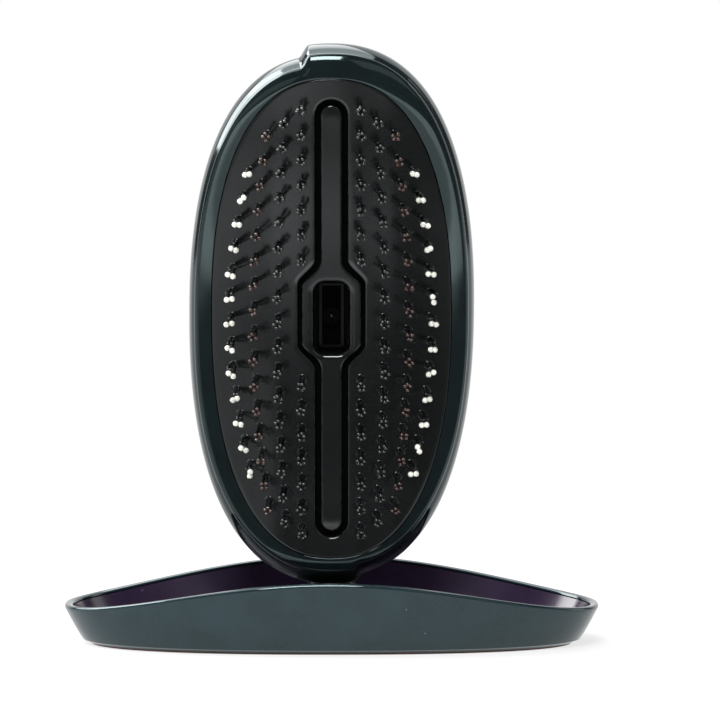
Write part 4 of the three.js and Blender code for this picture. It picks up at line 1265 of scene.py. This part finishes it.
class BuildCoverOperator(bpy.types.Operator):
    """Builds the cover, its purple liner, its foot pad and the cradle inside it."""

    bl_idname = "scalp_brush.cover"
    bl_label = "Cover"

    def execute(self, context):
        shell = gloss_plastic("green-black gloss, cover", colours().cover, tint=SHEEN)
        liner = gloss_plastic("purple gloss", colours().liner, 0.2)
        foot = soft_plastic("foot rubber", colours().foot, 0.6)
        settle(build_cover_shell(), shell, "cover", "shell", "cover_shell")
        settle(build_cover_liner(), liner, "cover", "liner", "cover_liner")
        cradle = soft_plastic("cradle rubber", colours().rubber, 0.55)
        settle(build_foot_pad(), foot, "cover", "foot", "foot_pad")
        settle(build_cradle(), cradle, "cover", "soft", "stand_cradle")
        return {"FINISHED"}


class FinishInnerOperator(bpy.types.Operator):
    """Gives the pieces inside the housing their finishes."""

    bl_idname = "scalp_brush.inner_pieces"
    bl_label = "Inner pieces"

    def execute(self, context):
        c = colours()
        inner = soft_plastic("grey inner plastic", c.inner, 0.45)
        # Near black with hardly any shine: partly the plastic's own black, partly painted shade
        # down in the groove round the spine and inside the window
        black_with_painted_shade = soft_plastic("dark inner plastic", (0.0007, 0.0007, 0.0008), 0.5, shine=0.02)
        blackened = bare_metal("blackened steel", (0.02, 0.02, 0.021))
        steel = bare_metal("drawn steel", (0.62, 0.63, 0.65))
        brass = bare_metal("stamped brass", (0.66, 0.47, 0.2))
        finishes = {
            black_with_painted_shade: ("bristle_bed", "port_liner", "emitter_holder", "tact_switch"),
            inner: ("chassis", "ion_module"),
            blackened: ("ground_ring",),
            steel: ("emitter_needle", "motor_can", "motor_shaft", "motor_clamp",
                    *(f"chassis_screw_{k}" for k in range(1, 5))),
            brass: ("bridge_contact", "terminal_left", "terminal_right", "eccentric_weight"),
            board_lacquer(): ("circuit_board",),
            cell_wrap(): ("battery_left", "battery_right"),
            tip_resin("led resin", (0.8, 0.85, 0.8), 0.3): ("status_led",),
        }
        for material, names in finishes.items():
            for name in names:
                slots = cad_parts[name].material_slots
                for held in slots:
                    held.material = material
                if not slots:
                    raise RuntimeError(name + " has no material slot")
        return {"FINISHED"}


class BuildStageOperator(bpy.types.Operator):
    """Builds the pale table, the lamps, the room and the camera."""

    bl_idname = "scalp_brush.stage"
    bl_label = "Stage"

    def execute(self, context):
        build_table()
        build_lamps()
        build_room()
        build_camera()
        context.scene.view_settings.view_transform = "Standard"
        return {"FINISHED"}


def build_table():
    """A pale sheet: flat in front and under the object, then swept up behind it."""
    stage = bpy.context.scene.scalp_brush_stage
    wide, back, tall, bend = 1.6, 1.6, 2.9, 0.6

    def place(across, along_share):
        x = lerp(-wide, wide, across) * lerp(1, 1.5, along_share)
        flat = stage.table_front + back
        arc = bend * math.pi / 2
        far = along_share * (flat + arc + tall)
        if far <= flat:
            return Vector((x, far - stage.table_front, 0))
        if far <= flat + arc:
            turn = (far - flat) / bend
            return Vector((x, back + bend * math.sin(turn), bend * (1 - math.cos(turn))))
        return Vector((x, back + bend, bend + far - flat - arc))

    deselect()
    bpy.ops.mesh.primitive_grid_add(x_subdivisions=2, y_subdivisions=120, size=1)
    table = bpy.context.object
    table.name = "table_sweep"
    for vertex in table.data.vertices:
        vertex.co = place(vertex.co.x + 0.5, vertex.co.y + 0.5)
    smooth(table)
    table.data.materials.append(table_paper())


def table_paper():
    """White paper: it lights and shades as paper does, and looks near white to the camera and in
    reflections, where it glows and fades out towards its front edge, sooner on the right as painted
    shade and later on the left as painted light."""
    finish = Finish("table paper")
    path = "ShaderNodeLightPath"
    camera = finish.node(path, output="Is Camera Ray")
    mirrored = finish.node(path, output="Is Glossy Ray")
    mirrored = mirrored.most(finish.node(path, output="Is Transmission Ray"))
    x = finish.node("ShaderNodeSeparateXYZ", None, {"Vector": finish.place}, "X")
    y = finish.node("ShaderNodeSeparateXYZ", None, {"Vector": finish.place}, "Y")
    grain = finish.noise(1.5 * MM, 2)
    paper = finish.node("ShaderNodeBsdfDiffuse", None, {
        "Color": finish.mix(grain, (0.78, 0.78, 0.78), (0.82, 0.82, 0.82))})
    # lean shifts where the glow seen in reflections fades out: further back on the right, which is
    # painted shade, and further forward on the left, which is painted light
    lean = finish.ramp(x, 0.0, 0.06) * 0.084 - (1 - finish.ramp(x, -0.06, 0.0)) * 0.03
    front_fade_with_painted_light_and_shade = finish.ramp(y - lean, -0.41, -0.29)
    glow = finish.node("ShaderNodeEmission", None, {
        "Color": finish.mix((1 - front_fade_with_painted_light_and_shade) * mirrored, (1, 1, 1), (0.14, 0.14, 0.14)), "Strength": 1.0})
    backdrop = finish.ramp(y, 0.12, 0.5)
    share = mirrored.most(camera * (backdrop * 0.25 + 0.75))
    blend = finish.node("ShaderNodeMixShader", None, {0: share, 1: paper, 2: glow})
    finish.node("ShaderNodeOutputMaterial", None, {"Surface": blend})
    return finish.material


def add_lamp(name, place, aim, size, power_watts):
    data = bpy.data.lights.new(name, "AREA")
    data.shape = "RECTANGLE"
    data.size, data.size_y = size
    data.energy = power_watts
    lamp = bpy.data.objects.new(name, data)
    bpy.context.scene.collection.objects.link(lamp)
    lamp.location = place
    lamp.visible_camera = False
    lamp.rotation_euler = (Vector(aim) - Vector(place)).to_track_quat("-Z", "Y").to_euler()


UPPER_LEFT_SHARE = 14  # power of the upper left lamp for each watt of the right one


def build_lamps():
    stage = bpy.context.scene.scalp_brush_stage
    middle = (0, 0, 0.07)
    add_lamp("key lamp", (-0.1, -0.75, 0.9), middle, (0.4, 0.4), stage.key_power)
    add_lamp("rear lamp", (-0.3, 0.35, 1.0), middle, (1.4, 1.2), stage.rear_power)
    add_lamp("left panel", (-0.85, -0.85, 0.12), middle, (1.28, 0.5), stage.left_power)
    add_lamp("right panel", (0.7, -0.9, 0.75), middle, (1.0, 0.6), stage.right_power)
    add_lamp("floor panel", (0, -0.29, 0.002), (0, -0.29, 1), (0.22, 0.07), stage.floor_power)
    add_lamp("upper left lamp", (-0.8, 0.25, 0.65), middle, (0.7, 0.8),
             UPPER_LEFT_SHARE * stage.side_power)
    add_lamp("right lamp", (0.85, 0.2, 0.3), middle, (0.35, 0.8), stage.side_power)


def build_room():
    stage = bpy.context.scene.scalp_brush_stage
    world = bpy.data.worlds.new("room")
    world.use_nodes = True
    nodes, links = world.node_tree.nodes, world.node_tree.links
    back = nodes["Background"]
    back.inputs["Color"].default_value = (1, 1, 1, 1)
    path = nodes.new("ShaderNodeLightPath")
    strength = nodes.new("ShaderNodeMapRange")
    strength.inputs["To Min"].default_value = stage.room
    links.new(path.outputs["Is Camera Ray"], strength.inputs["Value"])
    links.new(strength.outputs["Result"], back.inputs["Strength"])
    bpy.context.scene.world = world


def build_camera():
    """The photograph's view: a long lens a little above the object, looking slightly down."""
    back = Vector((0, -math.cos(VIEW_PITCH), math.sin(VIEW_PITCH)))
    data = bpy.data.cameras.new("camera")
    data.sensor_width = 36
    data.lens = data.sensor_width * PIXELS_PER_METRE * VIEW_DISTANCE / IMAGE_WIDTH
    data.clip_end = 10
    camera = bpy.data.objects.new("camera", data)
    bpy.context.scene.collection.objects.link(camera)
    camera.location = VIEW_AIM + back * VIEW_DISTANCE
    camera.rotation_euler = (math.pi / 2 - VIEW_PITCH, 0, 0)
    bpy.context.scene.camera = camera


PIECES = (
    BuildStageOperator,
    BuildCoverOperator,
    BuildFrameOperator,
    BuildShellOperator,
    BuildControlsOperator,
    BuildFaceOperator,
    BuildBristlesOperator,
    FinishInnerOperator,
)
GROUPS = {
    "scalp_brush_sizes": ScalpBrushSizes,
    "scalp_brush_colours": ScalpBrushColours,
    "scalp_brush_stage": ScalpBrushStage,
}


class ScalpBrushPanel(bpy.types.Panel):
    """Lists the pieces and their settings in the sidebar."""

    bl_idname = "VIEW3D_PT_scalp_brush"
    bl_label = "Scalp Brush"
    bl_space_type = "VIEW_3D"
    bl_region_type = "UI"
    bl_category = "Scalp Brush"

    def draw(self, context):
        for operator in PIECES:
            self.layout.operator(operator.bl_idname)
        for group, kind in GROUPS.items():
            for name in kind.__annotations__:
                self.layout.prop(getattr(context.scene, group), name)


def register():
    for kind in (*GROUPS.values(), *PIECES, ScalpBrushPanel):
        bpy.utils.register_class(kind)
    for group, kind in GROUPS.items():
        setattr(bpy.types.Scene, group, bpy.props.PointerProperty(type=kind))


def unregister():
    for group in GROUPS:
        delattr(bpy.types.Scene, group)
    for kind in reversed((*GROUPS.values(), *PIECES, ScalpBrushPanel)):
        bpy.utils.unregister_class(kind)


def main():
    register()
    for operator in PIECES:
        group, name = operator.bl_idname.split(".")
        getattr(getattr(bpy.ops, group), name)()


if __name__ == "__main__":
    main()
